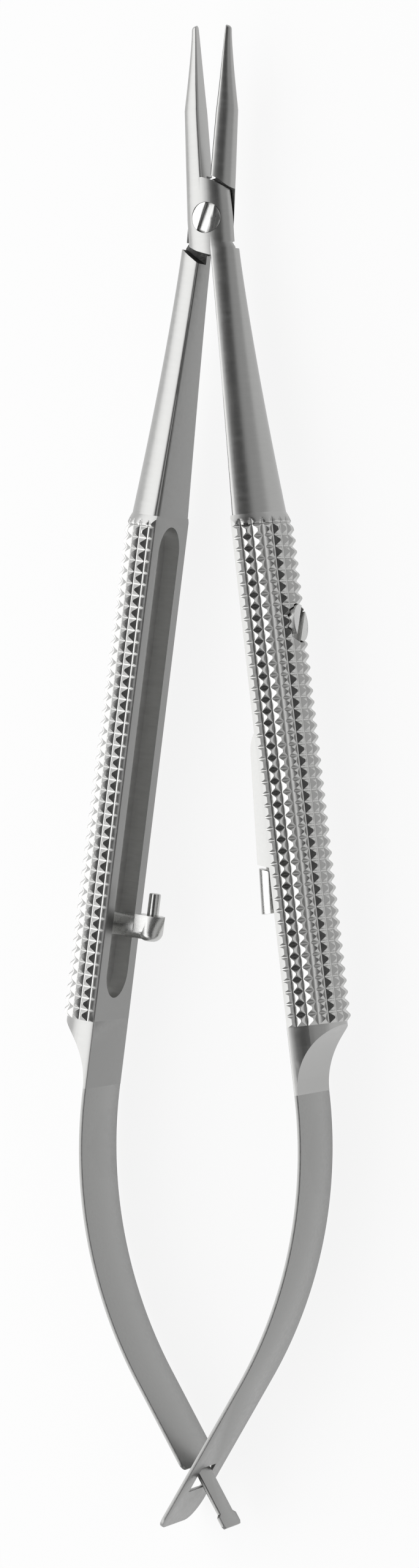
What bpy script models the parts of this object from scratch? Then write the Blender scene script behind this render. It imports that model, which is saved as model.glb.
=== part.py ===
"""Surgical needle holder with half-round knurled handles, crossed leaf springs and a pin catch.

The holder lies flat with its jaws toward +Y, its handles toward -Y and the joint's screw along Z.
The front arm is the left jaw, the upper half of the lap joint and the right handle. The rear arm is
the same forging turned half a turn about Y. Both are modelled with the jaws shut and the joint's
axis at the origin, then each is turned open by OPEN_ANGLE. Every handle piece is placed by its
distance from the joint along the handle's inner flat, which is the plane x = 0 of the flat's frame,
with +x into the handle and -x toward the other handle.
"""

import math

import bmesh
import bpy
from mathutils import Matrix, Vector

MM = 0.001

# Clearances
SEAT_GAP = 0.30 * MM
RUN_GAP = 0.15 * MM
JAW_SHUT_GAP = 0.30 * MM

# Joint
OPEN_ANGLE = 4.3
JOINT_HALF_WIDTH = 2.92 * MM
JOINT_HALF_DEPTH = 1.86 * MM
JOINT_NARROWING = 0.42 * MM
JOINT_THINNING = 0.16 * MM
LAP_TOP = 4.86 * MM
LAP_TOP_MIDDLE = (1.18 * MM, 4.36 * MM)
LAP_TOP_SIDE = 3.15 * MM
LAP_FOOT = 4.45 * MM
LAP_FOOT_MIDDLE = (1.48 * MM, 3.86 * MM)
LAP_FOOT_SIDE = 3.05 * MM
JOINT_SEGMENTS = 36

# Joint screw
SCREW_HEAD_RADIUS = 1.82 * MM
SCREW_HEAD_HEIGHT = 0.95 * MM
SCREW_SHANK_RADIUS = 1.05 * MM
SCREW_SLOT_WIDTH = 0.85 * MM
SCREW_SLOT_DEPTH = 0.60 * MM
SCREW_SLOT_TURN = -15.0

# Jaws
JAW_REACH = 23.2 * MM
JAW_ROOT_AT = 2.6 * MM
JAW_ROOT_WIDTH = 2.66 * MM
JAW_ROOT_DEPTH = 1.80 * MM
BEAK_AT = 13.7 * MM
BEAK_STEP_LENGTH = 0.6 * MM
BEAK_STEP = 0.10 * MM
BEAK_WIDTH = 2.14 * MM
BEAK_DEPTH = 1.42 * MM
TIP_WIDTH = 0.68 * MM
TIP_DEPTH = 0.50 * MM
TIP_ROUND = 0.50 * MM
JAW_EDGE_BEVEL = 0.12 * MM

# Upper handle
FLAT_SPLAY = 2.9
FLAT_OFFSET = 0.15 * MM
HANDLE_TOP = 3.2 * MM
SHOULDER_LENGTH = 0.7 * MM
SHOULDER_STEP = 0.33 * MM
HANDLE_TOP_WIDTH = 2.95 * MM
HANDLE_TOP_DEPTH = 1.95 * MM
TOP_EDGE_RISE = 0.12 * MM
TOP_EDGE_RUN = 0.20 * MM
UPPER_STATIONS = 8

# Knurl
KNURL_START = 36.0 * MM
KNURL_PITCH = 1.386 * MM
KNURL_RINGS = 44
KNURL_ROOT_RADIUS = 5.17 * MM
KNURL_END_ROOT_RADIUS = 5.36 * MM
KNURL_TOOTH = 0.56 * MM
KNURL_FLUTES = 12
KNURL_FLUTE_STEP = 14.6
FLAT_EDGE_RISE = 0.36 * MM
FLAT_EDGE_RUN = 0.52 * MM
KNURL_EDGE_LIFT = 0.15 * MM

# Slot in the handle's flat
SLOT_START = 37.2 * MM
SLOT_LENGTH = 57.0 * MM
SLOT_WIDTH = 6.45 * MM
SLOT_DEPTH = 1.90 * MM

# Handle end, swept down to the spring strip
END_BAR_RADIUS = 5.35 * MM
END_STEP_LENGTH = 0.25 * MM
END_BEVEL = 0.08 * MM
SWEEP_RADIUS = 8.5 * MM
SWEEP_LENGTH = 8.0 * MM
STRIP_THICKNESS = 0.45 * MM

# Spring leaves
LEAF_BEND_RADIUS = 54.3 * MM
LEAF_TAIL_LEAN = 30.4
LEAF_STATIONS = 16
WINDOW_ABOVE = 0.95 * MM
WINDOW_BELOW = 2.40 * MM
TONGUE_WIDTH = 3.90 * MM
TONGUE_GAP = 0.25 * MM
TONGUE_SHOULDER = 0.95 * MM
SHOULDER_ROUND = 1.10 * MM
TEE_AT = 5.45 * MM
TEE_LENGTH = 1.85 * MM
TEE_WIDTH = 5.20 * MM
TEE_ROUND = 0.35 * MM
WINDOWED_TAIL = 7.2 * MM
TAIL_NEAR_ROUND = 1.4 * MM
TAIL_FAR_ROUND = 3.0 * MM

# Catch post and pin on the rear arm
POST_AT = 83.7 * MM
POST_LENGTH = 3.1 * MM
POST_RADIUS = 1.50 * MM
POST_REACH = 3.65 * MM
POST_FOOT_ROUND = 1.15 * MM
POST_LEG_RADIUS = 1.42 * MM
POST_FLAT_STAND = 1.12 * MM
POST_FLAT_START = 1.45 * MM
POST_FLAT_END = 3.35 * MM
PIN_RADIUS = 0.70 * MM
PIN_STAND = 2.70 * MM
PIN_SEAT = 1.20 * MM

# Catch plate and block on the front arm
PLATE_FOOT_AT = 44.5 * MM
PLATE_FOOT_WIDTH = 4.60 * MM
PLATE_FOOT_SINK = 0.30 * MM
BLADE_AT = 61.0 * MM
BLADE_RISE = 3.5 * MM
BLADE_STAND = 2.05 * MM
BLADE_END = 77.4 * MM
BLADE_END_STAND = 2.75 * MM
BLADE_END_SLANT = 0.33
BLADE_FRONT = 1.80 * MM
BLADE_BACK = 1.90 * MM
CARRIER_THICKNESS = 0.95 * MM
BLOCK_LENGTH = 5.90 * MM
BLOCK_WIDTH = 1.45 * MM
BLOCK_FRONT = 1.60 * MM
BLOCK_ROUND = 1.10 * MM
BLOCK_LEAD = 0.38 * MM

# Catch screw
CATCH_SCREW_AT = 49.4 * MM
CATCH_HEAD_RADIUS = 2.20 * MM
CATCH_HEAD_TOP = 5.25 * MM
CATCH_HEAD_HEIGHT = 1.40 * MM
CATCH_SHANK_RADIUS = 1.00 * MM
CATCH_SLOT_WIDTH = 0.75 * MM
CATCH_SLOT_DEPTH = 0.55 * MM
CATCH_SLOT_TURN = 12.0
ROUND_SEGMENTS = 24

# Worked out from the sizes above
FLUTE_ANGLE = math.radians(KNURL_FLUTE_STEP)
KNURL_END = KNURL_START + KNURL_PITCH * KNURL_RINGS
SWEEP_END = KNURL_END + SWEEP_LENGTH
LEAF_WIDTH = 2 * END_BAR_RADIUS
LEAF_BEND = math.radians(FLAT_SPLAY + OPEN_ANGLE + LEAF_TAIL_LEAN)
LEAF_BEND_LENGTH = LEAF_BEND_RADIUS * LEAF_BEND
WINDOW_WIDTH = TONGUE_WIDTH + 2 * TONGUE_GAP
PLATE_FOOT_BACK = SLOT_DEPTH - SEAT_GAP
CARRIER_END = BLADE_END + BLOCK_LENGTH
CUT = 10 * MM


def flat_frame():
    """The frame of the handle's inner flat within its arm."""
    splay = Matrix.Rotation(math.radians(FLAT_SPLAY), 4, "Z")
    return splay @ Matrix.Translation((FLAT_OFFSET, 0, 0))


def along_handle(distance, x=0.0, z=0.0):
    """A frame on the handle's flat, at a distance from the joint."""
    return flat_frame() @ Matrix.Translation((x, -distance, z))


def link(bm, name, frame=None):
    """Makes an object of a bmesh, with its faces outwards."""
    if frame is not None:
        bmesh.ops.transform(bm, matrix=frame, verts=bm.verts)
    bmesh.ops.recalc_face_normals(bm, faces=bm.faces)
    mesh = bpy.data.meshes.new(name)
    bm.to_mesh(mesh)
    bm.free()
    obj = bpy.data.objects.new(name, mesh)
    bpy.context.collection.objects.link(obj)
    return obj


def combine(target, tool, operation):
    """Joins, cuts or meets the target with a tool, and takes the tool away.

    The manifold solver is used because the exact one leaves the knurled arm empty at some cuts.
    """
    modifier = target.modifiers.new(tool.name, "BOOLEAN")
    modifier.operation = operation
    modifier.object = tool
    modifier.solver = "MANIFOLD"
    graph = bpy.context.evaluated_depsgraph_get()
    mesh = bpy.data.meshes.new_from_object(target.evaluated_get(graph))
    target.modifiers.clear()
    target.data = mesh
    bpy.data.objects.remove(tool)


def prism(name, outline, low, high, frame=None):
    """An outline in the XY plane, carried from one height to another."""
    bm = bmesh.new()
    face = bm.faces.new([bm.verts.new((x, y, low)) for x, y in outline])
    raised = bmesh.ops.extrude_face_region(bm, geom=[face])["geom"]
    tops = [item for item in raised if isinstance(item, bmesh.types.BMVert)]
    bmesh.ops.translate(bm, verts=tops, vec=(0, 0, high - low))
    return link(bm, name, frame)


def cylinder(name, radius, low, high, frame=None, segments=ROUND_SEGMENTS):
    """A round bar along Z, from one height to another."""
    bm = bmesh.new()
    bmesh.ops.create_cone(
        bm, cap_ends=True, segments=segments, radius1=radius, radius2=radius, depth=high - low
    )
    bmesh.ops.translate(bm, verts=bm.verts, vec=(0, 0, (low + high) / 2))
    return link(bm, name, frame)


def box(name, low, high, frame=None):
    """A block between two corners."""
    outline = [(low[0], low[1]), (high[0], low[1]), (high[0], high[1]), (low[0], high[1])]
    return prism(name, outline, low[2], high[2], frame)


def arc(centre, radius, start, end, steps):
    """Points on an arc, from one angle in degrees to another."""
    turns = [math.radians(start + (end - start) * i / steps) for i in range(steps + 1)]
    return [(centre[0] + radius * math.cos(a), centre[1] + radius * math.sin(a)) for a in turns]


def grown(start, end, share, power=1.0):
    """A size part of the way between two others."""
    return start + (end - start) * share**power


def half_round_ring(width, depth, rise, run, lift=0.0):
    """Points round a half oval, from one relieved edge of its flat over the round side to the other.

    The flat ends a run short of the oval's depth. From there the relief slopes out to a rise above
    the flat, where it meets the oval or stands a lift above it.
    """
    upper = [(0.0, depth - run), (rise, depth * math.sqrt(1 - (rise / width) ** 2) + lift)]
    angles = [FLUTE_ANGLE * ((KNURL_FLUTES - 1) / 2 - i) for i in range(KNURL_FLUTES)]
    sides = [(width * math.cos(a), depth * math.sin(a)) for a in angles]
    lower = [(x, -z) for x, z in reversed(upper)]
    return upper + sides + lower


def half_round_bar(stations):
    """A bmesh bar along -Y whose flat is the plane x = 0, through rings of (distance, ring)."""
    bm = bmesh.new()
    rings = [[bm.verts.new((x, -at, z)) for x, z in ring] for at, ring in stations]
    bands = []
    for near, far in zip(rings, rings[1:]):
        corners = zip(near, near[1:] + near[:1], far[1:] + far[:1], far)
        bands.append([bm.faces.new(quad) for quad in corners])
    bm.faces.new(rings[0])
    bm.faces.new(rings[-1])
    return bm, bands


def jaw_bar():
    """The jaw's half-oval bar, from inside the lap to the rounded tip."""
    step_at = BEAK_AT - BEAK_STEP_LENGTH
    sizes = [(JAW_ROOT_AT, JAW_ROOT_WIDTH, JAW_ROOT_DEPTH)]
    for share in (0.5, 1.0):
        at = grown(JAW_ROOT_AT, step_at, share)
        width = grown(JAW_ROOT_WIDTH, BEAK_WIDTH + BEAK_STEP, share)
        sizes.append((at, width, grown(JAW_ROOT_DEPTH, BEAK_DEPTH + BEAK_STEP, share, 1.6)))
    beak_length = JAW_REACH - BEAK_AT - TIP_ROUND
    for share in (0.0, 0.2, 0.4, 0.6, 0.8, 1.0):
        width = grown(TIP_WIDTH, BEAK_WIDTH, 1 - share, 1.2)
        sizes.append((BEAK_AT + beak_length * share, width, grown(BEAK_DEPTH, TIP_DEPTH, share)))
    for turn in (30, 55, 75):
        reach = JAW_REACH - TIP_ROUND * (1 - math.sin(math.radians(turn)))
        shrink = math.cos(math.radians(turn))
        sizes.append((reach, TIP_WIDTH * shrink, TIP_DEPTH * shrink))
    sizes.append((JAW_REACH, TIP_WIDTH * 0.1, TIP_DEPTH * 0.1))
    stations = []
    for at, width, depth in sizes:
        bevel = min(JAW_EDGE_BEVEL, 0.12 * width)
        stations.append((at, half_round_ring(width, depth, bevel, bevel)))
    bm, _ = half_round_bar(stations)
    turned = Matrix.Translation((-JAW_SHUT_GAP / 2, 0, 0)) @ Matrix.Rotation(math.pi, 4, "Z")
    return link(bm, "jaw_bar", turned)


def handle_bar():
    """The handle's half-round bar with its knurl, from the joint's shoulder to the spring strip."""
    top_width = HANDLE_TOP_WIDTH - SHOULDER_STEP
    top_depth = HANDLE_TOP_DEPTH - SHOULDER_STEP / 2
    top = half_round_ring(top_width, top_depth, TOP_EDGE_RISE, TOP_EDGE_RUN)
    stations = [(HANDLE_TOP, top)]
    full_at = HANDLE_TOP + SHOULDER_LENGTH
    for i in range(UPPER_STATIONS + 1):
        share = i / UPPER_STATIONS
        width = grown(HANDLE_TOP_WIDTH, KNURL_ROOT_RADIUS, share, 1.5)
        depth = grown(HANDLE_TOP_DEPTH, KNURL_ROOT_RADIUS, share, 1.25)
        at = grown(full_at, KNURL_START, share)
        rise = grown(TOP_EDGE_RISE, FLAT_EDGE_RISE, share)
        run = grown(TOP_EDGE_RUN, FLAT_EDGE_RUN, share)
        stations.append((at, half_round_ring(width, depth, rise, run)))
    first_tooth = len(stations) - 1
    for ring in range(1, KNURL_RINGS + 1):
        root = grown(KNURL_ROOT_RADIUS, KNURL_END_ROOT_RADIUS, ring / KNURL_RINGS)
        knurled = half_round_ring(root, root, FLAT_EDGE_RISE, FLAT_EDGE_RUN, KNURL_EDGE_LIFT)
        stations.append((KNURL_START + KNURL_PITCH * ring, knurled))
    end_bar = half_round_ring(END_BAR_RADIUS, END_BAR_RADIUS, END_BEVEL, END_BEVEL)
    stations += [(KNURL_END + END_STEP_LENGTH, end_bar), (SWEEP_END, end_bar)]
    bm, bands = half_round_bar(stations)
    cells = [
        face
        for band in bands[first_tooth : first_tooth + KNURL_RINGS]
        for face in band[2 : 1 + KNURL_FLUTES]
    ]
    cell_sink = KNURL_ROOT_RADIUS * (1 - math.cos(FLUTE_ANGLE / 2))
    bmesh.ops.recalc_face_normals(bm, faces=bm.faces)
    bmesh.ops.poke(bm, faces=cells, offset=KNURL_TOOTH + cell_sink)
    return link(bm, "handle_bar", flat_frame())


def lap_outline(grow=0.0):
    """The lap seen from the front, in the front arm, grown on its free edges."""
    side = JOINT_HALF_WIDTH + CUT
    top_slope = (LAP_TOP_MIDDLE[1] - LAP_TOP_SIDE) / (JOINT_HALF_WIDTH - LAP_TOP_MIDDLE[0])
    foot_slope = (LAP_FOOT_MIDDLE[1] - LAP_FOOT_SIDE) / (JOINT_HALF_WIDTH - LAP_FOOT_MIDDLE[0])
    lift = grow / math.cos(math.atan(top_slope))
    return [
        (-side, LAP_TOP + lift),
        (-JAW_SHUT_GAP / 2, LAP_TOP + lift),
        (LAP_TOP_MIDDLE[0], LAP_TOP_MIDDLE[1] + lift),
        (side, LAP_TOP_SIDE - top_slope * CUT + lift),
        (side, -LAP_FOOT - lift),
        (FLAT_OFFSET, -LAP_FOOT - lift),
        (-LAP_FOOT_MIDDLE[0], -LAP_FOOT_MIDDLE[1] - lift),
        (-side, -LAP_FOOT_SIDE + foot_slope * CUT - lift),
    ]


def joint_oval(name):
    """The joint's oval bar along Y, which narrows toward the jaws."""
    bm = bmesh.new()
    rings = []
    for at, taper in ((-CUT, 0.0), (0.0, 0.0), (CUT, 1.0)):
        width = JOINT_HALF_WIDTH - JOINT_NARROWING * taper
        depth = JOINT_HALF_DEPTH - JOINT_THINNING * taper
        turns = [math.tau * i / JOINT_SEGMENTS for i in range(JOINT_SEGMENTS)]
        ring = [bm.verts.new((width * math.cos(a), at, depth * math.sin(a))) for a in turns]
        rings.append(ring)
    for near, far in zip(rings, rings[1:]):
        for quad in zip(near, near[1:] + near[:1], far[1:] + far[:1], far):
            bm.faces.new(quad)
    bm.faces.new(rings[0])
    bm.faces.new(rings[-1])
    return link(bm, name)


def lap():
    """The upper half of the lap joint, which joins the jaw to the handle across the middle."""
    plate = prism("lap", lap_outline(), SEAT_GAP / 2, JOINT_HALF_DEPTH + CUT)
    combine(plate, joint_oval("lap_oval"), "INTERSECT")
    return plate


def lap_pocket(turn):
    """Room for the other arm's lap, with the other arm turned by an angle in degrees."""
    mirrored = [(-x, y) for x, y in reversed(lap_outline(SEAT_GAP))]
    frame = Matrix.Rotation(math.radians(turn), 4, "Z")
    return prism("lap_pocket", mirrored, -CUT, SEAT_GAP / 2, frame)


def slot_cutter():
    """The round-ended slot in the handle's flat."""
    half = SLOT_WIDTH / 2
    outline = arc((0, -half), half, 0, 180, 8) + arc((0, half - SLOT_LENGTH), half, 180, 360, 8)
    frame = along_handle(SLOT_START) @ Matrix.Rotation(math.pi / 2, 4, "Y")
    return prism("slot_cutter", outline, -CUT, SLOT_DEPTH, frame)


def sweep_cutter():
    """What is ground off the handle's round side, down to the thickness of the spring strip."""
    centre = (STRIP_THICKNESS + SWEEP_RADIUS, -SWEEP_END)
    sweep = arc(centre, SWEEP_RADIUS, 180, 95, 10)
    outline = [(STRIP_THICKNESS, -SWEEP_END - CUT)] + sweep
    outline += [(centre[0] + CUT, sweep[-1][1]), (centre[0] + CUT, -SWEEP_END - CUT)]
    return prism("sweep_cutter", outline, -CUT, CUT, flat_frame())


def arm(name):
    """One arm: jaw, lap and handle, with room for the other arm's lap and a hole for the screw."""
    forging = lap()
    forging.name = name
    combine(forging, handle_bar(), "UNION")
    combine(forging, jaw_bar(), "UNION")
    for turn in (0, -OPEN_ANGLE, -2 * OPEN_ANGLE):
        combine(forging, lap_pocket(turn), "DIFFERENCE")
    combine(forging, cylinder("hole", SCREW_SHANK_RADIUS + RUN_GAP, -CUT, CUT), "DIFFERENCE")
    combine(forging, slot_cutter(), "DIFFERENCE")
    combine(forging, sweep_cutter(), "DIFFERENCE")
    return forging


def front_arm():
    """The arm with the screw head's recess and the catch screw's seat."""
    forging = arm("front_arm")
    seat = JOINT_HALF_DEPTH - SCREW_HEAD_HEIGHT - RUN_GAP
    recess = cylinder("head_recess", SCREW_HEAD_RADIUS + RUN_GAP, seat, CUT)
    combine(forging, recess, "DIFFERENCE")
    frame = along_handle(CATCH_SCREW_AT) @ Matrix.Rotation(math.pi / 2, 4, "Y")
    hole = cylinder("catch_hole", CATCH_SHANK_RADIUS + RUN_GAP, 0, CUT, frame)
    combine(forging, hole, "DIFFERENCE")
    floor = CATCH_HEAD_TOP - CATCH_HEAD_HEIGHT - RUN_GAP
    seat = cylinder("catch_seat", CATCH_HEAD_RADIUS + RUN_GAP, floor, CUT, frame)
    combine(forging, seat, "DIFFERENCE")
    return forging


def joint_screw():
    """The slotted joint screw, ground flush with both sides of the joint."""
    head_base = JOINT_HALF_DEPTH - SCREW_HEAD_HEIGHT
    screw = cylinder("joint_screw", SCREW_HEAD_RADIUS, head_base, JOINT_HALF_DEPTH + MM)
    shank = cylinder("shank", SCREW_SHANK_RADIUS, -CUT, head_base + SCREW_HEAD_HEIGHT / 2)
    combine(screw, shank, "UNION")
    combine(screw, joint_oval("screw_oval"), "INTERSECT")
    half = SCREW_SLOT_WIDTH / 2
    turned = Matrix.Rotation(math.radians(SCREW_SLOT_TURN), 4, "Z")
    low = (-half, -CUT, JOINT_HALF_DEPTH - SCREW_SLOT_DEPTH)
    combine(screw, box("screw_slot", low, (half, CUT, CUT), turned), "DIFFERENCE")
    return screw


def crossing_length():
    """How far along the leaf its middle line meets the holder's middle line."""
    lean = math.radians(LEAF_TAIL_LEAN)
    rest = Matrix.Rotation(math.radians(OPEN_ANGLE), 4, "Z") @ leaf_frame()
    bend_end = rest @ Vector(bent(LEAF_BEND_LENGTH, 0.0, 0.0))
    return LEAF_BEND_LENGTH + bend_end.x / math.sin(lean)


def leaf_frame():
    """The leaf's bending axis, midway in the gap between the handle's end and the leaf."""
    return along_handle(SWEEP_END + SEAT_GAP / 2, STRIP_THICKNESS / 2)


def bent(length, offset, z):
    """The place of a point of the flat blank after the blank is bent toward the other leaf."""
    turn = min(length, LEAF_BEND_LENGTH) / LEAF_BEND_RADIUS
    straight = max(length - LEAF_BEND_LENGTH, 0.0)
    x = -LEAF_BEND_RADIUS * (1 - math.cos(turn)) - straight * math.sin(turn)
    y = -LEAF_BEND_RADIUS * math.sin(turn) - straight * math.cos(turn)
    start = SEAT_GAP / 2
    return (x + offset * math.cos(turn), y - offset * math.sin(turn) - start, z)


def leaf(name, outline, window=None):
    """A leaf cut as a flat blank of (length, z) points, then bent."""
    bm = bmesh.new()
    edges = []
    for loop in filter(None, (outline, window)):
        verts = [bm.verts.new((-STRIP_THICKNESS / 2, -length, z)) for length, z in loop]
        edges += [bm.edges.new(pair) for pair in zip(verts, verts[1:] + verts[:1])]
    bmesh.ops.triangle_fill(bm, edges=edges, use_beauty=True)
    for i in range(1, LEAF_STATIONS + 1):
        cut_at = Vector((0, -LEAF_BEND_LENGTH * i / LEAF_STATIONS, 0))
        geom = bm.verts[:] + bm.edges[:] + bm.faces[:]
        bmesh.ops.bisect_plane(bm, geom=geom, plane_co=cut_at, plane_no=(0, 1, 0), dist=1e-7)
    raised = bmesh.ops.extrude_face_region(bm, geom=bm.faces[:])["geom"]
    tops = [item for item in raised if isinstance(item, bmesh.types.BMVert)]
    bmesh.ops.translate(bm, verts=tops, vec=(STRIP_THICKNESS, 0, 0))
    for vert in bm.verts:
        vert.co = bent(-vert.co.y, vert.co.x, vert.co.z)
    return link(bm, name)


def windowed_leaf():
    """The front arm's leaf, with the window that the other leaf's tongue passes through."""
    half = LEAF_WIDTH / 2
    cross = crossing_length()
    end = cross + WINDOWED_TAIL
    far = arc((end - TAIL_FAR_ROUND, TAIL_FAR_ROUND - half), TAIL_FAR_ROUND, 270, 360, 5)
    near = arc((end - TAIL_NEAR_ROUND, half - TAIL_NEAR_ROUND), TAIL_NEAR_ROUND, 0, 90, 4)
    outline = [(0, half), (0, -half)] + far + near
    low, high = cross - WINDOW_ABOVE, cross + WINDOW_BELOW
    side = WINDOW_WIDTH / 2
    window = [(low, side), (low, -side), (high, -side), (high, side)]
    return leaf("windowed_leaf", outline, window)


def tongued_leaf():
    """The rear arm's leaf, whose T-ended tongue passes through the window."""
    half = LEAF_WIDTH / 2
    cross = crossing_length()
    shoulder = cross - TONGUE_SHOULDER
    tee = cross + TEE_AT
    end = tee + TEE_LENGTH
    side, wide = TONGUE_WIDTH / 2, TEE_WIDTH / 2
    corner = arc((shoulder - SHOULDER_ROUND, SHOULDER_ROUND - half), SHOULDER_ROUND, 270, 360, 4)
    lower = [(0, -half)] + corner + [(shoulder, -side), (tee, -side), (tee + TEE_ROUND, -wide)]
    lower += [(end - TEE_ROUND, -wide), (end, TEE_ROUND - wide)]
    upper = [(length, -z) for length, z in reversed(lower)]
    return leaf("tongued_leaf", lower + upper)


def blade_stand(distance):
    """How far the catch plate's free edge stands out of the flat."""
    start = BLADE_AT + BLADE_RISE
    return grown(BLADE_STAND, BLADE_END_STAND, (distance - start) / (BLADE_END - start))


def catch_plate():
    """The catch plate: foot in the slot, blade out of the slot, and carrier behind the block."""
    root = BLADE_AT - BLADE_RISE
    foot_low = (PLATE_FOOT_SINK, -root - BLADE_RISE, -PLATE_FOOT_WIDTH / 2)
    foot_high = (PLATE_FOOT_BACK, -PLATE_FOOT_AT, PLATE_FOOT_WIDTH / 2)
    plate = box("catch_plate", foot_low, foot_high)
    rise = arc((0, -BLADE_AT - BLADE_RISE), 1, 90, 180, 5)
    crown = [(x * BLADE_STAND, y) for x, y in rise]
    crown = [(x, -BLADE_AT - BLADE_RISE + (y + BLADE_AT + BLADE_RISE) * BLADE_RISE) for x, y in crown]
    slant = BLADE_END_SLANT * (BLADE_END_STAND + PLATE_FOOT_BACK)
    outline = [(PLATE_FOOT_BACK, -root)] + crown
    outline += [(-BLADE_END_STAND, -BLADE_END), (PLATE_FOOT_BACK, -BLADE_END - slant)]
    combine(plate, prism("blade", outline, -BLADE_BACK, BLADE_FRONT), "UNION")
    carrier = [
        (PLATE_FOOT_BACK, -BLADE_END + BLADE_RISE),
        (-blade_stand(BLADE_END - BLADE_RISE), -BLADE_END + BLADE_RISE),
        (-blade_stand(CARRIER_END), -CARRIER_END),
        (PLATE_FOOT_BACK, -CARRIER_END),
    ]
    back = -BLADE_BACK
    combine(plate, prism("carrier", carrier, back, back + CARRIER_THICKNESS), "UNION")
    frame = Matrix.Translation((0, -CATCH_SCREW_AT, 0)) @ Matrix.Rotation(math.pi / 2, 4, "Y")
    hole = cylinder("plate_hole", CATCH_SHANK_RADIUS + RUN_GAP, -CUT, CUT, frame)
    combine(plate, hole, "DIFFERENCE")
    return plate


def catch_block():
    """The catch block: a ridge on the carrier that the pin snaps over."""
    base = -BLADE_BACK + CARRIER_THICKNESS + SEAT_GAP
    corner = arc((BLOCK_ROUND, BLOCK_FRONT - BLOCK_ROUND), BLOCK_ROUND, 180, 90, 5)
    section = [(0, base)] + corner + [(BLOCK_WIDTH, BLOCK_FRONT), (BLOCK_WIDTH, base)]
    start = BLADE_END + SEAT_GAP * 1.2
    bm = bmesh.new()
    rings = []
    for at, slant in ((start, BLADE_END_SLANT), (CARRIER_END, 0.0)):
        edge = -blade_stand(at) - BLOCK_LEAD
        rings.append([bm.verts.new((edge + x, -at - slant * x, z)) for x, z in section])
    loops = [[bm.edges.new(pair) for pair in zip(ring, ring[1:] + ring[:1])] for ring in rings]
    bmesh.ops.bridge_loops(bm, edges=loops[0] + loops[1])
    for ring in rings:
        bm.faces.new(ring)
    return link(bm, "catch_block")


def catch_screw():
    """The slotted screw that holds the catch plate from the handle's round side."""
    head_base = CATCH_HEAD_TOP - CATCH_HEAD_HEIGHT
    screw = cylinder("catch_screw", CATCH_HEAD_RADIUS, head_base, CATCH_HEAD_TOP)
    tip = PLATE_FOOT_SINK + RUN_GAP
    shank = cylinder("shank", CATCH_SHANK_RADIUS, tip, head_base + CATCH_HEAD_HEIGHT / 2)
    combine(screw, shank, "UNION")
    half = CATCH_SLOT_WIDTH / 2
    turned = Matrix.Rotation(math.radians(CATCH_SLOT_TURN), 4, "Z")
    low = (-CUT, -half, CATCH_HEAD_TOP - CATCH_SLOT_DEPTH)
    combine(screw, box("screw_slot", low, (CUT, half, CUT), turned), "DIFFERENCE")
    return screw


def catch_post():
    """The post: a leg out of the slot that carries an upright stub, bored for the pin."""
    bm = bmesh.new()
    upright = Matrix.Rotation(-math.pi / 2, 4, "X")
    bmesh.ops.create_cone(
        bm,
        cap_ends=True,
        segments=ROUND_SEGMENTS,
        radius1=POST_RADIUS,
        radius2=POST_RADIUS,
        depth=POST_LENGTH,
        matrix=Matrix.Translation((-POST_REACH, -POST_LENGTH / 2, 0)) @ upright,
    )
    foot = [e for e in bm.edges if all(v.co.y < -POST_LENGTH + MM / 100 for v in e.verts)]
    bmesh.ops.bevel(
        bm, geom=foot, offset=POST_FOOT_ROUND, segments=3, profile=0.5, affect="EDGES"
    )
    post = link(bm, "catch_post")
    along_leg = Matrix.Rotation(math.pi / 2, 4, "Y")
    frame = Matrix.Translation((0, -POST_LENGTH / 2, 0)) @ along_leg
    leg = cylinder("post_leg", POST_LEG_RADIUS, -POST_REACH, PLATE_FOOT_BACK, frame)
    combine(post, leg, "UNION")
    low = (-POST_FLAT_END, -POST_LENGTH + POST_FOOT_ROUND / 2, POST_FLAT_STAND)
    flat = box("post_flat", low, (-POST_FLAT_START, CUT, CUT))
    combine(post, flat, "DIFFERENCE")
    frame = Matrix.Translation((-POST_REACH, 0, 0)) @ upright
    bore = cylinder("pin_bore", PIN_RADIUS + RUN_GAP, -PIN_SEAT - RUN_GAP, CUT, frame)
    combine(post, bore, "DIFFERENCE")
    return post


def catch_pin():
    """The pin that the catch holds, pressed into the post."""
    frame = Matrix.Rotation(-math.pi / 2, 4, "X")
    return cylinder("catch_pin", PIN_RADIUS, -PIN_SEAT, PIN_STAND, frame)


def steel(name, shade, roughness):
    """A plain steel material of one grey shade."""
    material = bpy.data.materials.new(name)
    material.use_nodes = True
    shader = material.node_tree.nodes["Principled BSDF"]
    shader.inputs["Base Color"].default_value = (shade, shade, shade, 1)
    shader.inputs["Metallic"].default_value = 1.0
    shader.inputs["Roughness"].default_value = roughness
    return material


def finish(obj, parent, frame, shade, roughness):
    """Dresses a piece, smooths its round faces and hangs it in its arm's frame."""
    obj.data.materials.clear()
    obj.data.materials.append(steel(obj.name + "_steel", shade, roughness))
    obj.data.shade_smooth()
    obj.data.set_sharp_from_angle(angle=math.radians(30))
    obj.parent = parent
    obj.matrix_local = frame
    return obj


def empty(name, frame):
    """A frame that an arm's pieces hang in."""
    holder = bpy.data.objects.new(name, None)
    bpy.context.collection.objects.link(holder)
    holder.matrix_world = frame
    return holder


def settle(pieces, frames):
    """Moves the frames so that the holder's box is centred on the origin, on the ground."""
    bpy.context.view_layer.update()
    corners = [piece.matrix_world @ vert.co for piece in pieces for vert in piece.data.vertices]
    low = Vector([min(c[k] for c in corners) for k in range(3)])
    high = Vector([max(c[k] for c in corners) for k in range(3)])
    shift = Vector((-(low.x + high.x) / 2, -(low.y + high.y) / 2, -low.z))
    for frame in frames:
        frame.matrix_world = Matrix.Translation(shift) @ frame.matrix_world
    bpy.context.view_layer.update()


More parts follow.
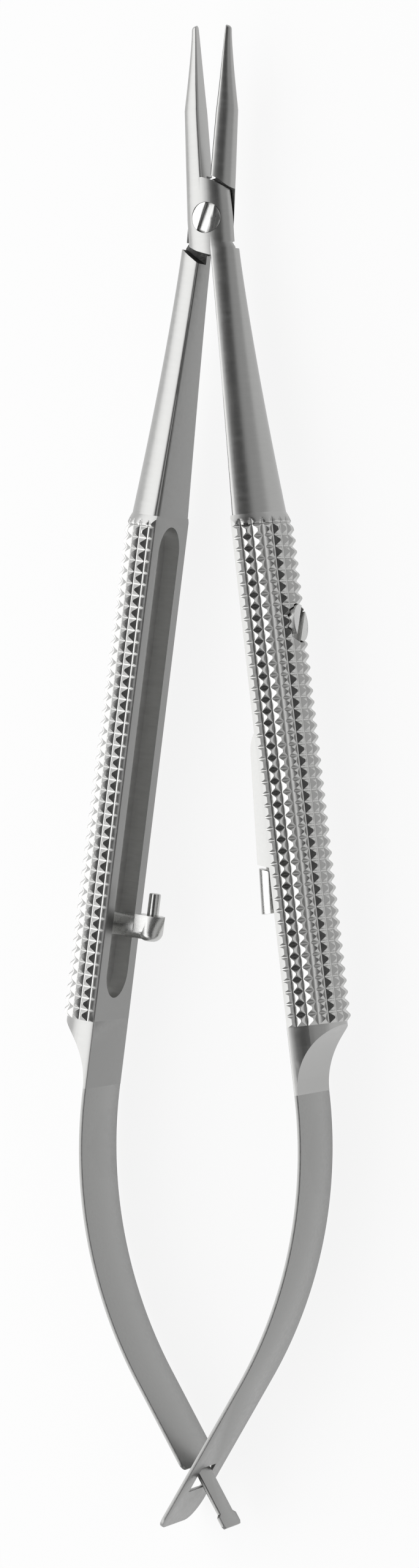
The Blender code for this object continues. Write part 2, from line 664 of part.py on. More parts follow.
def main():
    """Builds every piece and hangs it on its arm."""
    for obj in list(bpy.data.objects):
        bpy.data.objects.remove(obj, do_unlink=True)
    opened = Matrix.Rotation(math.radians(OPEN_ANGLE), 4, "Z")
    turned_over = Matrix.Rotation(math.pi, 4, "Y")
    front = empty("front_arm_frame", opened)
    rear = empty("rear_arm_frame", opened.inverted() @ turned_over)
    flat = flat_frame()
    outward = along_handle(CATCH_SCREW_AT) @ Matrix.Rotation(math.pi / 2, 4, "Y")
    swing = Matrix.Translation((0, CATCH_SCREW_AT, 0))
    plate, block = catch_plate(), catch_block()
    for piece in (plate, block):
        piece.data.transform(swing)
    pieces = [
        finish(front_arm(), front, Matrix.Identity(4), 0.62, 0.28),
        finish(arm("rear_arm"), rear, Matrix.Identity(4), 0.62, 0.28),
        finish(joint_screw(), rear, turned_over, 0.66, 0.22),
        finish(windowed_leaf(), front, leaf_frame(), 0.55, 0.34),
        finish(tongued_leaf(), rear, leaf_frame(), 0.55, 0.34),
        finish(plate, front, along_handle(CATCH_SCREW_AT), 0.72, 0.20),
        finish(block, front, along_handle(CATCH_SCREW_AT), 0.68, 0.22),
        finish(catch_screw(), front, outward, 0.60, 0.26),
        finish(catch_post(), rear, along_handle(POST_AT), 0.64, 0.22),
        finish(catch_pin(), rear, along_handle(POST_AT, -POST_REACH), 0.66, 0.18),
    ]
    settle(pieces, (front, rear))


if __name__ == "__main__":
    main()
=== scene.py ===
"""Looks of a surgical needle holder: satin steel arms with knurled handles, spring leaves and catch.

Every size is in metres and every piece is modelled at the place where the holder's own frame has it.
An arm is modelled with the jaws shut and the joint's axis at the origin: its jaw runs toward +Y and
its handle toward -Y. A handle piece is placed by its distance from the joint along the handle's inner
flat, which is the plane x = 0 of the flat's frame, with +x into the handle.
"""

import logging
import math
from dataclasses import dataclass, field
from enum import Enum
from typing import Callable, Iterable, Sequence

import bmesh
import bpy
from mathutils import Matrix, Vector


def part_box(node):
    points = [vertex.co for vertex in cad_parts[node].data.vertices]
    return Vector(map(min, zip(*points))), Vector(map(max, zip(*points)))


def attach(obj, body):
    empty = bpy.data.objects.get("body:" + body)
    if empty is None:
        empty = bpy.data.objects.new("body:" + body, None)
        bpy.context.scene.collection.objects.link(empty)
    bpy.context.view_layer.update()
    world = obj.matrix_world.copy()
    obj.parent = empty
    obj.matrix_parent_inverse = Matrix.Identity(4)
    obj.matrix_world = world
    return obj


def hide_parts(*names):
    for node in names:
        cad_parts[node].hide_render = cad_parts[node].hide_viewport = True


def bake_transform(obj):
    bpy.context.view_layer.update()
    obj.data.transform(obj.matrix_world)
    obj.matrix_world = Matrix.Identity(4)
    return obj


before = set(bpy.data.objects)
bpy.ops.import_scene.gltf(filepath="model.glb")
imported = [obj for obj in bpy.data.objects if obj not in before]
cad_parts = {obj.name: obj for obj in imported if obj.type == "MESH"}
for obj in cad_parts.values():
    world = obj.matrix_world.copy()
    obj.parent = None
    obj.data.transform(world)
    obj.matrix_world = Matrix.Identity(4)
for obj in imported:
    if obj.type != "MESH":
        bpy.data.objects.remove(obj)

MM = 0.001
LOG = logging.getLogger("needle_holder")

# The folds, in degrees, past which an edge is a crease and past which it is softened.
CREASE_FOLD = 30.0
SOFT_EDGE_FOLD = 40.0
SOFT_EDGE_STEPS = 2

# How near a point lies to a cutting plane to count as on it, in a body and in a leaf's blank.
ON_CUT = MM / 1e5
ON_STATION = MM / 1e4

# How far a screw's shank runs into its head, so that the two join.
SHANK_LAP = 0.5 * MM

Points = list[tuple[float, float]]
Section = Callable[[float], Points]


class Cut(Enum):
    """What a tool body does to the piece that it meets."""

    JOIN = "UNION"
    REMOVE = "DIFFERENCE"
    KEEP = "INTERSECT"


class Grain(Enum):
    """How the grinding marks of a finish run along a piece, as stretch across, along and up."""

    LENGTHWISE = (1.0, 0.05, 1.0)
    CROSSWISE = (0.06, 1.0, 0.06)
    EVEN = (1.0, 1.0, 1.0)


def share_of(start: float, end: float, share: float, power: float = 1.0) -> float:
    """Finds a size part of the way between two others.

    Args:
        start: The size at share 0.
        end: The size at share 1.
        share: How far along, from 0 to 1.
        power: Over 1, the size changes slowly at first.

    Returns:
        The size at that share.
    """
    return start + (end - start) * share**power


def arc(centre: tuple[float, float], radius: float, start: float, end: float, steps: int) -> Points:
    """Finds points on an arc, both ends included.

    Args:
        centre: The arc's centre.
        radius: Its radius.
        start: The angle of the first point, in degrees.
        end: The angle of the last point.
        steps: How many steps lie between them.

    Returns:
        The points, one more than the steps.
    """
    turns = [math.radians(turn) for turn in steps_between(start, end, steps)]
    return [(centre[0] + radius * math.cos(a), centre[1] + radius * math.sin(a)) for a in turns]


def steps_between(start: float, end: float, count: int) -> list[float]:
    """Evenly spaced values from one to another, both ends included."""
    return [share_of(start, end, i / count) for i in range(count + 1)]


NOISE_LOW = 0.3
NOISE_HIGH = 0.7
MARK_DETAIL = 3.0
CLOUD_DETAIL = 4.0
BLUE_SHARE = 0.985
LEAST_ROUGHNESS = 0.03


@dataclass(frozen=True)
class Finish:
    """A steel finish: its shade, its gloss and the grinding marks on it.

    Attributes:
        name: The material's name.
        shade: The steel's reflectance.
        roughness: The mean roughness.
        grain: The way that the marks run.
        heading: The angle in degrees of the marks' length from the Y axis.
        mark_size: The spacing of the marks.
        mark_depth: How deep they seem.
        unevenness: How far the roughness and the shade wander.
        cloud_size: The spacing of that wandering.
    """

    name: str
    shade: float = 0.52
    roughness: float = 0.24
    grain: Grain = Grain.CROSSWISE
    heading: float = 0.0
    mark_size: float = 0.12 * MM
    mark_depth: float = 0.004 * MM
    unevenness: float = 0.05
    cloud_size: float = 0.5 * MM

    def material(self) -> bpy.types.Material:
        """Builds the finish as a node material, or returns the one built before.

        Returns:
            The material.
        """
        if self.name in bpy.data.materials:
            return bpy.data.materials[self.name]
        material = bpy.data.materials.new(self.name)
        material.use_nodes = True
        tree = material.node_tree
        shader = tree.nodes["Principled BSDF"]
        shader.inputs["Metallic"].default_value = 1.0
        spread = [math.sqrt(part) for part in self.grain.value]
        marks = self.noise(tree, self.mark_size, self.grain.value, MARK_DETAIL)
        clouds = self.noise(tree, self.cloud_size, spread, CLOUD_DETAIL)
        self.wander(tree, clouds, self.roughness, self.unevenness, shader.inputs["Roughness"])
        self.tone(tree, clouds, shader.inputs["Base Color"])
        bump = tree.nodes.new("ShaderNodeBump")
        bump.inputs["Distance"].default_value = self.mark_depth
        tree.links.new(marks, bump.inputs["Height"])
        tree.links.new(bump.outputs["Normal"], shader.inputs["Normal"])
        return material

    def coordinates(
        self, tree: bpy.types.NodeTree, spacing: float, stretch: Sequence[float]
    ) -> bpy.types.NodeSocket:
        """Object coordinates turned along the piece and counted in marks.

        Args:
            tree: The material's node tree.
            spacing: The distance that becomes one unit.
            stretch: The share of that density across, along and up.

        Returns:
            The socket with the mapped coordinates.
        """
        place = tree.nodes.new("ShaderNodeTexCoord")
        turn = tree.nodes.new("ShaderNodeMapping")
        turn.inputs["Rotation"].default_value = (0.0, 0.0, -math.radians(self.heading))
        scale = tree.nodes.new("ShaderNodeMapping")
        scale.inputs["Scale"].default_value = [part / spacing for part in stretch]
        tree.links.new(place.outputs["Object"], turn.inputs["Vector"])
        tree.links.new(turn.outputs["Vector"], scale.inputs["Vector"])
        return scale.outputs["Vector"]

    def noise(
        self, tree: bpy.types.NodeTree, spacing: float, stretch: Sequence[float], detail: float
    ) -> bpy.types.NodeSocket:
        """Adds a noise that runs along the piece, for the marks or for the clouds in the finish.

        Args:
            tree: The material's node tree.
            spacing: The distance between one mark or cloud and the next.
            stretch: The share of that density across, along and up.
            detail: How many finer layers it has.

        Returns:
            The socket with the noise, from 0 to 1.
        """
        noise = tree.nodes.new("ShaderNodeTexNoise")
        noise.inputs["Scale"].default_value = 1.0
        noise.inputs["Detail"].default_value = detail
        tree.links.new(self.coordinates(tree, spacing, stretch), noise.inputs["Vector"])
        return noise.outputs["Fac"]

    def wander(
        self,
        tree: bpy.types.NodeTree,
        source: bpy.types.NodeSocket,
        middle: float,
        spread: float,
        target: bpy.types.NodeSocket,
    ) -> None:
        """Maps a noise onto a range round a middle value.

        Args:
            tree: The material's node tree.
            source: The noise.
            middle: The middle of the range.
            spread: How far the value wanders each way.
            target: The socket that takes the value.
        """
        span = tree.nodes.new("ShaderNodeMapRange")
        span.inputs["From Min"].default_value = NOISE_LOW
        span.inputs["From Max"].default_value = NOISE_HIGH
        span.inputs["To Min"].default_value = max(middle - spread, LEAST_ROUGHNESS)
        span.inputs["To Max"].default_value = middle + spread
        tree.links.new(source, span.inputs["Value"])
        tree.links.new(span.outputs["Result"], target)

    def tone(
        self, tree: bpy.types.NodeTree, source: bpy.types.NodeSocket, target: bpy.types.NodeSocket
    ) -> None:
        """Lets the shade wander by a little with the same noise.

        Args:
            tree: The material's node tree.
            source: The noise.
            target: The socket that takes the colour.
        """
        ramp = tree.nodes.new("ShaderNodeValToRGB")
        ends = ((NOISE_LOW, 1 - self.unevenness), (NOISE_HIGH, 1 + self.unevenness))
        for stop, (position, share) in zip(ramp.color_ramp.elements, ends):
            level = self.shade * share
            stop.position = position
            stop.color = (level, level, level * BLUE_SHARE, 1)
        tree.links.new(source, ramp.inputs["Fac"])
        tree.links.new(ramp.outputs["Color"], target)


HANDLE_HEADING = 7.2
SATIN_FRONT = Finish("satin_front_arm", 0.40, 0.31, Grain.CROSSWISE, HANDLE_HEADING, unevenness=0.03)
SATIN_REAR = Finish("satin_rear_arm", 0.40, 0.31, Grain.CROSSWISE, -HANDLE_HEADING, unevenness=0.03)
# Painted shade: the flats' darker shade stands in for the shadowed floor between the handles that they
# reflect; their higher roughness is the ground finish.
GROUND_FLAT_PAINTED_SHADE = Finish("ground_flat_painted_shade", 0.27, 0.36, Grain.EVEN, 0.0, 0.10 * MM, 0.006 * MM, 0.06)
# Painted shade: the pocket's near-black shade stands in for the shadow in the cavity under the lap; its
# roughness and marks are the milled finish.
POCKET_PAINTED_SHADE = Finish("rough_pocket_painted_shade", 0.11, 0.55, Grain.EVEN, 0.0, 0.25 * MM, 0.05 * MM, 0.20)
KNURLED = Finish("knurled_grip", 0.50, 0.20, Grain.EVEN, 0.0, 0.12 * MM, 0.002 * MM, 0.04)
# Painted light: the slot's raised shade, lighter than the arm's steel, makes up for the shade that its walls
# cast on its floor; the mill marks are real.
MILLED_FRONT_PAINTED_LIGHT = Finish("milled_slot_front_painted_light", 0.62, 0.40, Grain.CROSSWISE, HANDLE_HEADING, 0.28 * MM, 0.02 * MM)
MILLED_REAR_PAINTED_LIGHT = Finish("milled_slot_rear_painted_light", 0.62, 0.40, Grain.CROSSWISE, -HANDLE_HEADING, 0.28 * MM, 0.02 * MM)
# Painted shade: the strips' darker shade stands in for the shadowed floor that their faces reflect.
SPRING_PAINTED_SHADE = Finish("spring_strip_painted_shade", 0.30, 0.34, Grain.EVEN, 0.0, 0.08 * MM, 0.006 * MM, 0.06)
PLATED = Finish("bright_catch_plate", 0.42, 0.30, Grain.EVEN, 0.0, 0.12 * MM, 0.002 * MM, 0.03)
POLISHED = Finish("polished_pin", 0.50, 0.15, Grain.EVEN, 0.0, 0.15 * MM, 0.0015 * MM, 0.03)
BRUSHED = Finish("brushed_catch", 0.58, 0.28, Grain.EVEN, 0.0, 0.10 * MM, 0.004 * MM, 0.03)
SCREW = Finish("ground_screw", 0.56, 0.26, Grain.LENGTHWISE, -15.0, 0.10 * MM, 0.004 * MM, 0.05)


class Piece:
    """A body under construction: a bmesh with the tools of the bench, kept closed and facing out."""

    def __init__(self, name: str) -> None:
        """Starts an empty body under a name."""
        self.name = name
        self.bm = bmesh.new()

    def turn(self, matrix: Matrix) -> "Piece":
        """Moves or turns the whole body."""
        bmesh.ops.transform(self.bm, matrix=matrix, verts=self.bm.verts)
        return self

    def loft(self, section: Section, stations: Sequence[float]) -> list[list[bmesh.types.BMFace]]:
        """Extrudes a closed section along -Y from station to station and closes both ends.

        Args:
            section: Gives the section's (x, z) points at a distance, always as many.
            stations: The distances, from the first to the last.

        Returns:
            The faces of the band between each station and the next.
        """
        lane = self.bm.verts.layers.int.new("lane")
        ring = [self.bm.verts.new((x, -stations[0], z)) for x, z in section(stations[0])]
        for index, vert in enumerate(ring):
            vert[lane] = index
        edges = [self.bm.edges.new(pair) for pair in zip(ring, ring[1:] + ring[:1])]
        first = list(edges)
        bands = []
        for at in stations[1:]:
            made = bmesh.ops.extrude_edge_only(self.bm, edges=edges)["geom"]
            points = section(at)
            for vert in (item for item in made if isinstance(item, bmesh.types.BMVert)):
                x, z = points[vert[lane]]
                vert.co = (x, -at, z)
            fresh = {item for item in made if isinstance(item, bmesh.types.BMVert)}
            edges = [e for e in made if isinstance(e, bmesh.types.BMEdge) and set(e.verts) <= fresh]
            bands.append([item for item in made if isinstance(item, bmesh.types.BMFace)])
        bmesh.ops.edgeloop_fill(self.bm, edges=first)
        bmesh.ops.edgeloop_fill(self.bm, edges=edges)
        bmesh.ops.recalc_face_normals(self.bm, faces=self.bm.faces)
        return bands

    def plate(self, outline: Sequence[tuple[float, float]], low: float, high: float) -> "Piece":
        """Extrudes an outline in the XY plane.

        Args:
            outline: The outline's (x, y) points.
            low: The height that it starts at.
            high: The height that it ends at.

        Returns:
            The same body.
        """
        face = self.bm.faces.new([self.bm.verts.new((x, y, low)) for x, y in outline])
        raised = bmesh.ops.extrude_face_region(self.bm, geom=[face])["geom"]
        tops = [item for item in raised if isinstance(item, bmesh.types.BMVert)]
        bmesh.ops.translate(self.bm, verts=tops, vec=(0, 0, high - low))
        bmesh.ops.recalc_face_normals(self.bm, faces=self.bm.faces)
        return self

    def rod(self, radius: float, low: float, high: float, segments: int = 64) -> "Piece":
        """Adds a round bar along Z.

        Args:
            radius: The bar's radius.
            low: The height that it starts at.
            high: The height that it ends at.
            segments: How many sides make it round.

        Returns:
            The same body.
        """
        made = bmesh.ops.create_cone(
            self.bm, cap_ends=True, segments=segments, radius1=radius, radius2=radius, depth=high - low
        )
        bmesh.ops.translate(self.bm, verts=made["verts"], vec=(0, 0, (low + high) / 2))
        return self

    def block(self, low: Sequence[float], high: Sequence[float]) -> "Piece":
        """Adds a block between two corners."""
        outline = [(low[0], low[1]), (high[0], low[1]), (high[0], high[1]), (low[0], high[1])]
        return self.plate(outline, low[2], high[2])

    def round_off(self, edges: Iterable[bmesh.types.BMEdge], width: float, segments: int = 2) -> "Piece":
        """Rounds a set of edges.

        Args:
            edges: The edges.
            width: How far the round runs on each side of an edge.
            segments: In how many steps it turns.

        Returns:
            The same body.
        """
        bmesh.ops.bevel(
            self.bm,
            geom=list(edges),
            offset=width,
            segments=segments,
            profile=0.5,
            affect="EDGES",
            material=-1,
            clamp_overlap=True,
        )
        return self

    def trim(self, point: Vector, outward: Vector) -> "Piece":
        """Cuts away what lies beyond a plane and closes the cut.

        Args:
            point: A point on the plane.
            outward: The plane's normal, toward what goes.

        Returns:
            The same body.
        """
        geom = self.bm.verts[:] + self.bm.edges[:] + self.bm.faces[:]
        cut = bmesh.ops.bisect_plane(
            self.bm, geom=geom, dist=ON_CUT, plane_co=point, plane_no=outward, clear_outer=True
        )
        rim = [item for item in cut["geom_cut"] if isinstance(item, bmesh.types.BMEdge)]
        bmesh.ops.holes_fill(self.bm, edges=rim, sides=0)
        return self

    def finish(self) -> bpy.types.Object:
        """Makes an object of the body, at the origin, with its faces outwards.

        Returns:
            The object. The body can't be worked on after this.
        """
        bmesh.ops.recalc_face_normals(self.bm, faces=self.bm.faces)
        mesh = bpy.data.meshes.new(self.name)
        self.bm.to_mesh(mesh)
        self.bm.free()
        obj = bpy.data.objects.new(self.name, mesh)
        bpy.context.scene.collection.objects.link(obj)
        return obj


def apply_modifiers(obj: bpy.types.Object) -> bpy.types.Object:
    """Makes what an object's modifiers do part of its mesh.

    Args:
        obj: The object.

    Returns:
        The same object, with no modifier left.
    """
    graph = bpy.context.evaluated_depsgraph_get()
    mesh = bpy.data.meshes.new_from_object(obj.evaluated_get(graph))
    obj.modifiers.clear()
    obj.data = mesh
    return obj


def combine(target: bpy.types.Object, tool: bpy.types.Object, cut: Cut) -> bpy.types.Object:
    """Joins a tool body to a piece, or cuts it out, and takes the tool away.

    Args:
        target: The piece that changes.
        tool: The body that it meets.
        cut: What happens where they meet.

    Returns:
        The changed piece.
    """
    modifier = target.modifiers.new(tool.name, "BOOLEAN")
    modifier.operation = cut.value
    modifier.object = tool
    modifier.solver = "MANIFOLD"
    apply_modifiers(target)
    bpy.data.objects.remove(tool)
    return target


def shade(obj: bpy.types.Object, finish: Finish) -> bpy.types.Object:
    """Dresses a piece in one finish and smooths its round faces.

    Args:
        obj: The piece.
        finish: What all of it is finished in.

    Returns:
        The same piece.
    """
    obj.data.materials.clear()
    obj.data.materials.append(finish.material())
    obj.data.shade_smooth()
    obj.data.set_sharp_from_angle(angle=math.radians(CREASE_FOLD))
    return obj


def soften(obj: bpy.types.Object, width: float) -> bpy.types.Object:
    """Takes the sharpness off a piece's edges.

    Args:
        obj: The piece.
        width: How wide the softened edge is.

    Returns:
        The same piece.
    """
    modifier = obj.modifiers.new("soft_edges", "BEVEL")
    modifier.width = width
    modifier.segments = SOFT_EDGE_STEPS
    modifier.limit_method = "ANGLE"
    modifier.angle_limit = math.radians(SOFT_EDGE_FOLD)
    modifier.use_clamp_overlap = True
    return apply_modifiers(obj)


def settle(obj: bpy.types.Object, body: str, node: str) -> None:
    """Hangs a finished piece on its body, in place of the node that it stands for.

    Args:
        obj: The piece.
        body: The body that it moves with.
        node: The node.
    """
    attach(obj, body)
    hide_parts(node)
    LOG.info("%s: %d faces, rides on %s", obj.name, len(obj.data.polygons), body)


@dataclass(frozen=True)
class Layout:
    """How the holder lies: the joint's place, how far it is open and how the flats splay."""

    open_angle: float = 4.3
    flat_splay: float = 2.9
    flat_offset: float = 0.15 * MM

    def pivot(self) -> Vector:
        """The joint's centre, which is the middle of the joint screw."""
        low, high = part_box("joint_screw")
        return (low + high) / 2

    def front(self) -> Matrix:
        """The front arm's frame."""
        return Matrix.Translation(self.pivot()) @ Matrix.Rotation(math.radians(self.open_angle), 4, "Z")

    def rear(self) -> Matrix:
        """The rear arm's frame, which is the front arm's turned over."""
        turned = Matrix.Rotation(-math.radians(self.open_angle), 4, "Z") @ Matrix.Rotation(math.pi, 4, "Y")
        return Matrix.Translation(self.pivot()) @ turned

    def closed(self) -> Matrix:
        """The joint screw's frame, which turns with the rear arm and shows its head in front."""
        return Matrix.Translation(self.pivot()) @ Matrix.Rotation(-math.radians(self.open_angle), 4, "Z")

    def flat(self, distance: float = 0.0, x: float = 0.0) -> Matrix:
        """A frame on the handle's flat within its arm, at a distance from the joint."""
        splay = Matrix.Rotation(math.radians(self.flat_splay), 4, "Z")
        return splay @ Matrix.Translation((self.flat_offset + x, -distance, 0))


@dataclass(frozen=True)
class Knurl:
    """The grip: a bar grooved along and around, which leaves rows of blunt square teeth.

    Attributes:
        start: How far from the joint the flare starts, a pitch above the first groove round the grip.
        pitch: The distance from one of those grooves to the next.
        rings: How many pitches the grip has, the flare among them.
        ring_root: The radius of the floor of the grooves round the grip, where it starts.
        widening: How much that radius grows to the grip's end.
        flute_sink: How much deeper the lengthwise grooves are.
        flute_step: The angle between two of them, in degrees.
        flute_turn: How far they are turned round the grip.
        columns: How many rows of teeth lie between them, the ones cut off by the flat among them.
        floor: Half the width of a groove's floor.
        flank_run: The width of the slope beside a lengthwise groove's floor.
        tooth: How far each step of a tooth's side runs inwards and how far it rises.
        crown: How far a tooth's middle rises over its top step.
        neck_radius: The radius of the bar where the flare starts.
        flare: The flare's length.
        flare_power: Over 1, the flare widens quickly at first.
        edge_run: How far the relief of the flat's front edge stands in from the grooves' floor.
        back_run: The same at the back edge.
        edge_slope: The relief's slope to the flat, in degrees.
        shelf_run: The width of the nearly level shelf beside the front relief.
        shelf_slope: That shelf's slope.
        collar_stations: How many steps make the flare.
    """

    start: float = 36.0 * MM
    pitch: float = 1.386 * MM
    rings: int = 44
    ring_root: float = 5.21 * MM
    widening: float = 0.19 * MM
    flute_sink: float = 0.05 * MM
    flute_step: float = 14.6
    flute_turn: float = 0.0
    columns: int = 13
    floor: float = 0.065 * MM
    flank_run: float = 0.06 * MM
    tooth: tuple = (
        (0.260 * MM, 0.226 * MM),
        (0.200 * MM, 0.174 * MM),
        (0.060 * MM, 0.042 * MM),
    )
    crown: float = 0.01 * MM
    neck_radius: float = 4.92 * MM
    flare: float = 3.4 * MM
    flare_power: float = 2.2
    edge_run: float = 0.10 * MM
    back_run: float = 0.06 * MM
    edge_slope: float = 72.0
    shelf_run: float = 0.25 * MM
    shelf_slope: float = 5.0
    collar_stations: int = 12

    @property
    def first_ring(self) -> float:
        """Where the first groove round the grip lies."""
        return self.start + self.pitch

    @property
    def end(self) -> float:
        """Where the last groove lies."""
        return self.start + self.pitch * self.rings

    def root_at(self, at: float) -> float:
        """The radius of the floor of the grooves round the grip."""
        return self.ring_root + self.widening * (at - self.start) / (self.end - self.start)

    def crest_at(self, at: float) -> float:
        """The radius of the bar before it was grooved, which flares out of the neck.

        Args:
            at: The distance from the joint.

        Returns:
            The radius there.
        """
        full = self.root_at(at) + sum(rise for _, rise in self.tooth) + self.crown
        share = min(max((at - self.start) / self.flare, 0.0), 1.0)
        return full - (full - self.neck_radius) * (1 - share) ** self.flare_power

    def tooth_height(self, distance: float) -> float:
        """How far a tooth's side stands above its foot.

        Args:
            distance: How far inwards of the foot.

        Returns:
            The height there.
        """
        travelled, risen = 0.0, 0.0
        for inset, rise in self.tooth:
            if distance < travelled + inset:
                return risen + rise * max(distance - travelled, 0.0) / inset
            travelled += inset
            risen += rise
        return risen

    def groove_angles(self) -> list[float]:
        """The angles in degrees of the lengthwise grooves, counted from the middle of the grip."""
        halves = range(-self.columns, self.columns + 1, 2)
        return [self.flute_step / 2 * half - self.flute_turn for half in halves]

    def section(self, at: float) -> Points:
        """The bar's section between two teeth: the lengthwise grooves and the lands between them.

        Args:
            at: The distance from the joint.

        Returns:
            The section's (x, z) points, four for each lengthwise groove.
        """
        points = []
        land, sunk = self.root_at(at), self.root_at(at) - self.flute_sink
        lip = math.degrees((self.floor + self.flank_run) / land)
        foot = math.degrees(self.floor / sunk)
        for angle in self.groove_angles():
            for turn, radius in ((-lip, land), (-foot, sunk), (foot, sunk), (lip, land)):
                a = math.radians(angle + turn)
                points.append((radius * math.cos(a), radius * math.sin(a)))
        return points

    def teeth(self, faced: int) -> bpy.types.Object:
        """The grip from the first ring groove on, cut along the flat.

        Args:
            faced: 1 if the arm shows its +z side in front, or else -1.

        Returns:
            The grip in the flat's frame.
        """
        piece = Piece("knurl")
        stations = [self.first_ring, self.first_ring + self.floor]
        for ring in range(2, self.rings + 1):
            groove = self.start + self.pitch * ring
            stations += [groove - self.floor, groove + self.floor]
        bands = piece.loft(self.section, stations[:-1])
        wide = self.pitch * self.pitch / 2
        fields = [face for band in bands for face in band if face.calc_area() > wide]
        cells = [face for face in fields if face.calc_center_median().x > 0]
        for inset, rise in self.tooth:
            bmesh.ops.inset_individual(
                piece.bm, faces=cells, thickness=inset, depth=rise, use_even_offset=True
            )
        bmesh.ops.poke(piece.bm, faces=cells, offset=self.crown)
        self.turn_down(piece)
        return self.flatten(piece, faced).finish()

    def collar(self, faced: int) -> bpy.types.Object:
        """The flare above the first ring groove, with the lengthwise grooves' run-outs.

        Args:
            faced: 1 if the arm shows its +z side in front, or else -1.

        Returns:
            The flare in the flat's frame.
        """
        piece = Piece("collar")
        travel = [self.floor, self.floor + self.flank_run]
        for inset, _ in self.tooth:
            travel.append(travel[-1] + inset)
        offsets = [-d for d in reversed(travel)] + travel
        stations = steps_between(self.start, self.first_ring - self.floor, self.collar_stations)

        def section(at: float) -> Points:
            """The flare's section at a distance from the joint, no wider than the first teeth."""
            land = self.root_at(at)
            ahead = max(self.first_ring - self.floor - at, 0.0)
            points = []
            for angle in self.groove_angles():
                for offset in offsets:
                    a = math.radians(angle) + offset / land
                    aside = abs(offset) - self.floor - self.flank_run
                    sunk = self.flute_sink * min(max(-aside / self.flank_run, 0.0), 1.0)
                    top = land - sunk + self.tooth_height(max(aside, 0.0))
                    radius = min(self.crest_at(at), top, land + self.tooth_height(ahead))
                    points.append((radius * math.cos(a), radius * math.sin(a)))
            return points

        def tail(at: float) -> Points:
            """The same section, which shrinks past the first groove to end inside the grip."""
            shrink = 1.0 if at < self.first_ring else 1 - self.floor / self.ring_root
            return [(x * shrink, z * shrink) for x, z in section(at)]

        piece.loft(tail, stations + [self.first_ring, self.first_ring + self.floor / 2])
        return self.flatten(piece, faced).finish()

    def turn_down(self, piece: Piece) -> None:
        """Turns the first teeth down to the flare.

        Args:
            piece: The grip, in the flat's frame.
        """
        for vert in piece.bm.verts:
            at = -vert.co.y
            radius = math.hypot(vert.co.x, vert.co.z)
            if vert.co.x > 0 and at < self.start + self.flare and radius > self.crest_at(at):
                scale = self.crest_at(at) / radius
                vert.co = (vert.co.x * scale, vert.co.y, vert.co.z * scale)

    def flatten(self, piece: Piece, faced: int) -> Piece:
        """Cuts a piece of the grip along the handle's flat and relieves the flat's edges.

        Args:
            piece: The grip or its flare, in the flat's frame.
            faced: The side that shows in front, 1 or -1, whose edge is relieved the most.

        Returns:
            The same piece.
        """
        piece.trim(Vector((0, 0, 0)), Vector((-1, 0, 0)))
        front, back = self.ring_root - self.edge_run, self.ring_root - self.back_run
        sink = self.shelf_run * math.tan(math.radians(self.shelf_slope))
        cuts = (
            (faced, 0.0, front - self.shelf_run, self.shelf_slope),
            (faced, sink, front, self.edge_slope),
            (-faced, 0.0, back, self.edge_slope),
        )
        for side, x, z, angle in cuts:
            along = Vector((0, -1, side * self.widening / (self.end - self.start)))
            slope = math.radians(angle)
            outward = along.cross(Vector((math.sin(slope), 0, side * math.cos(slope)))) * side
            piece.trim(Vector((x, -self.start, side * z)), outward)
        return piece


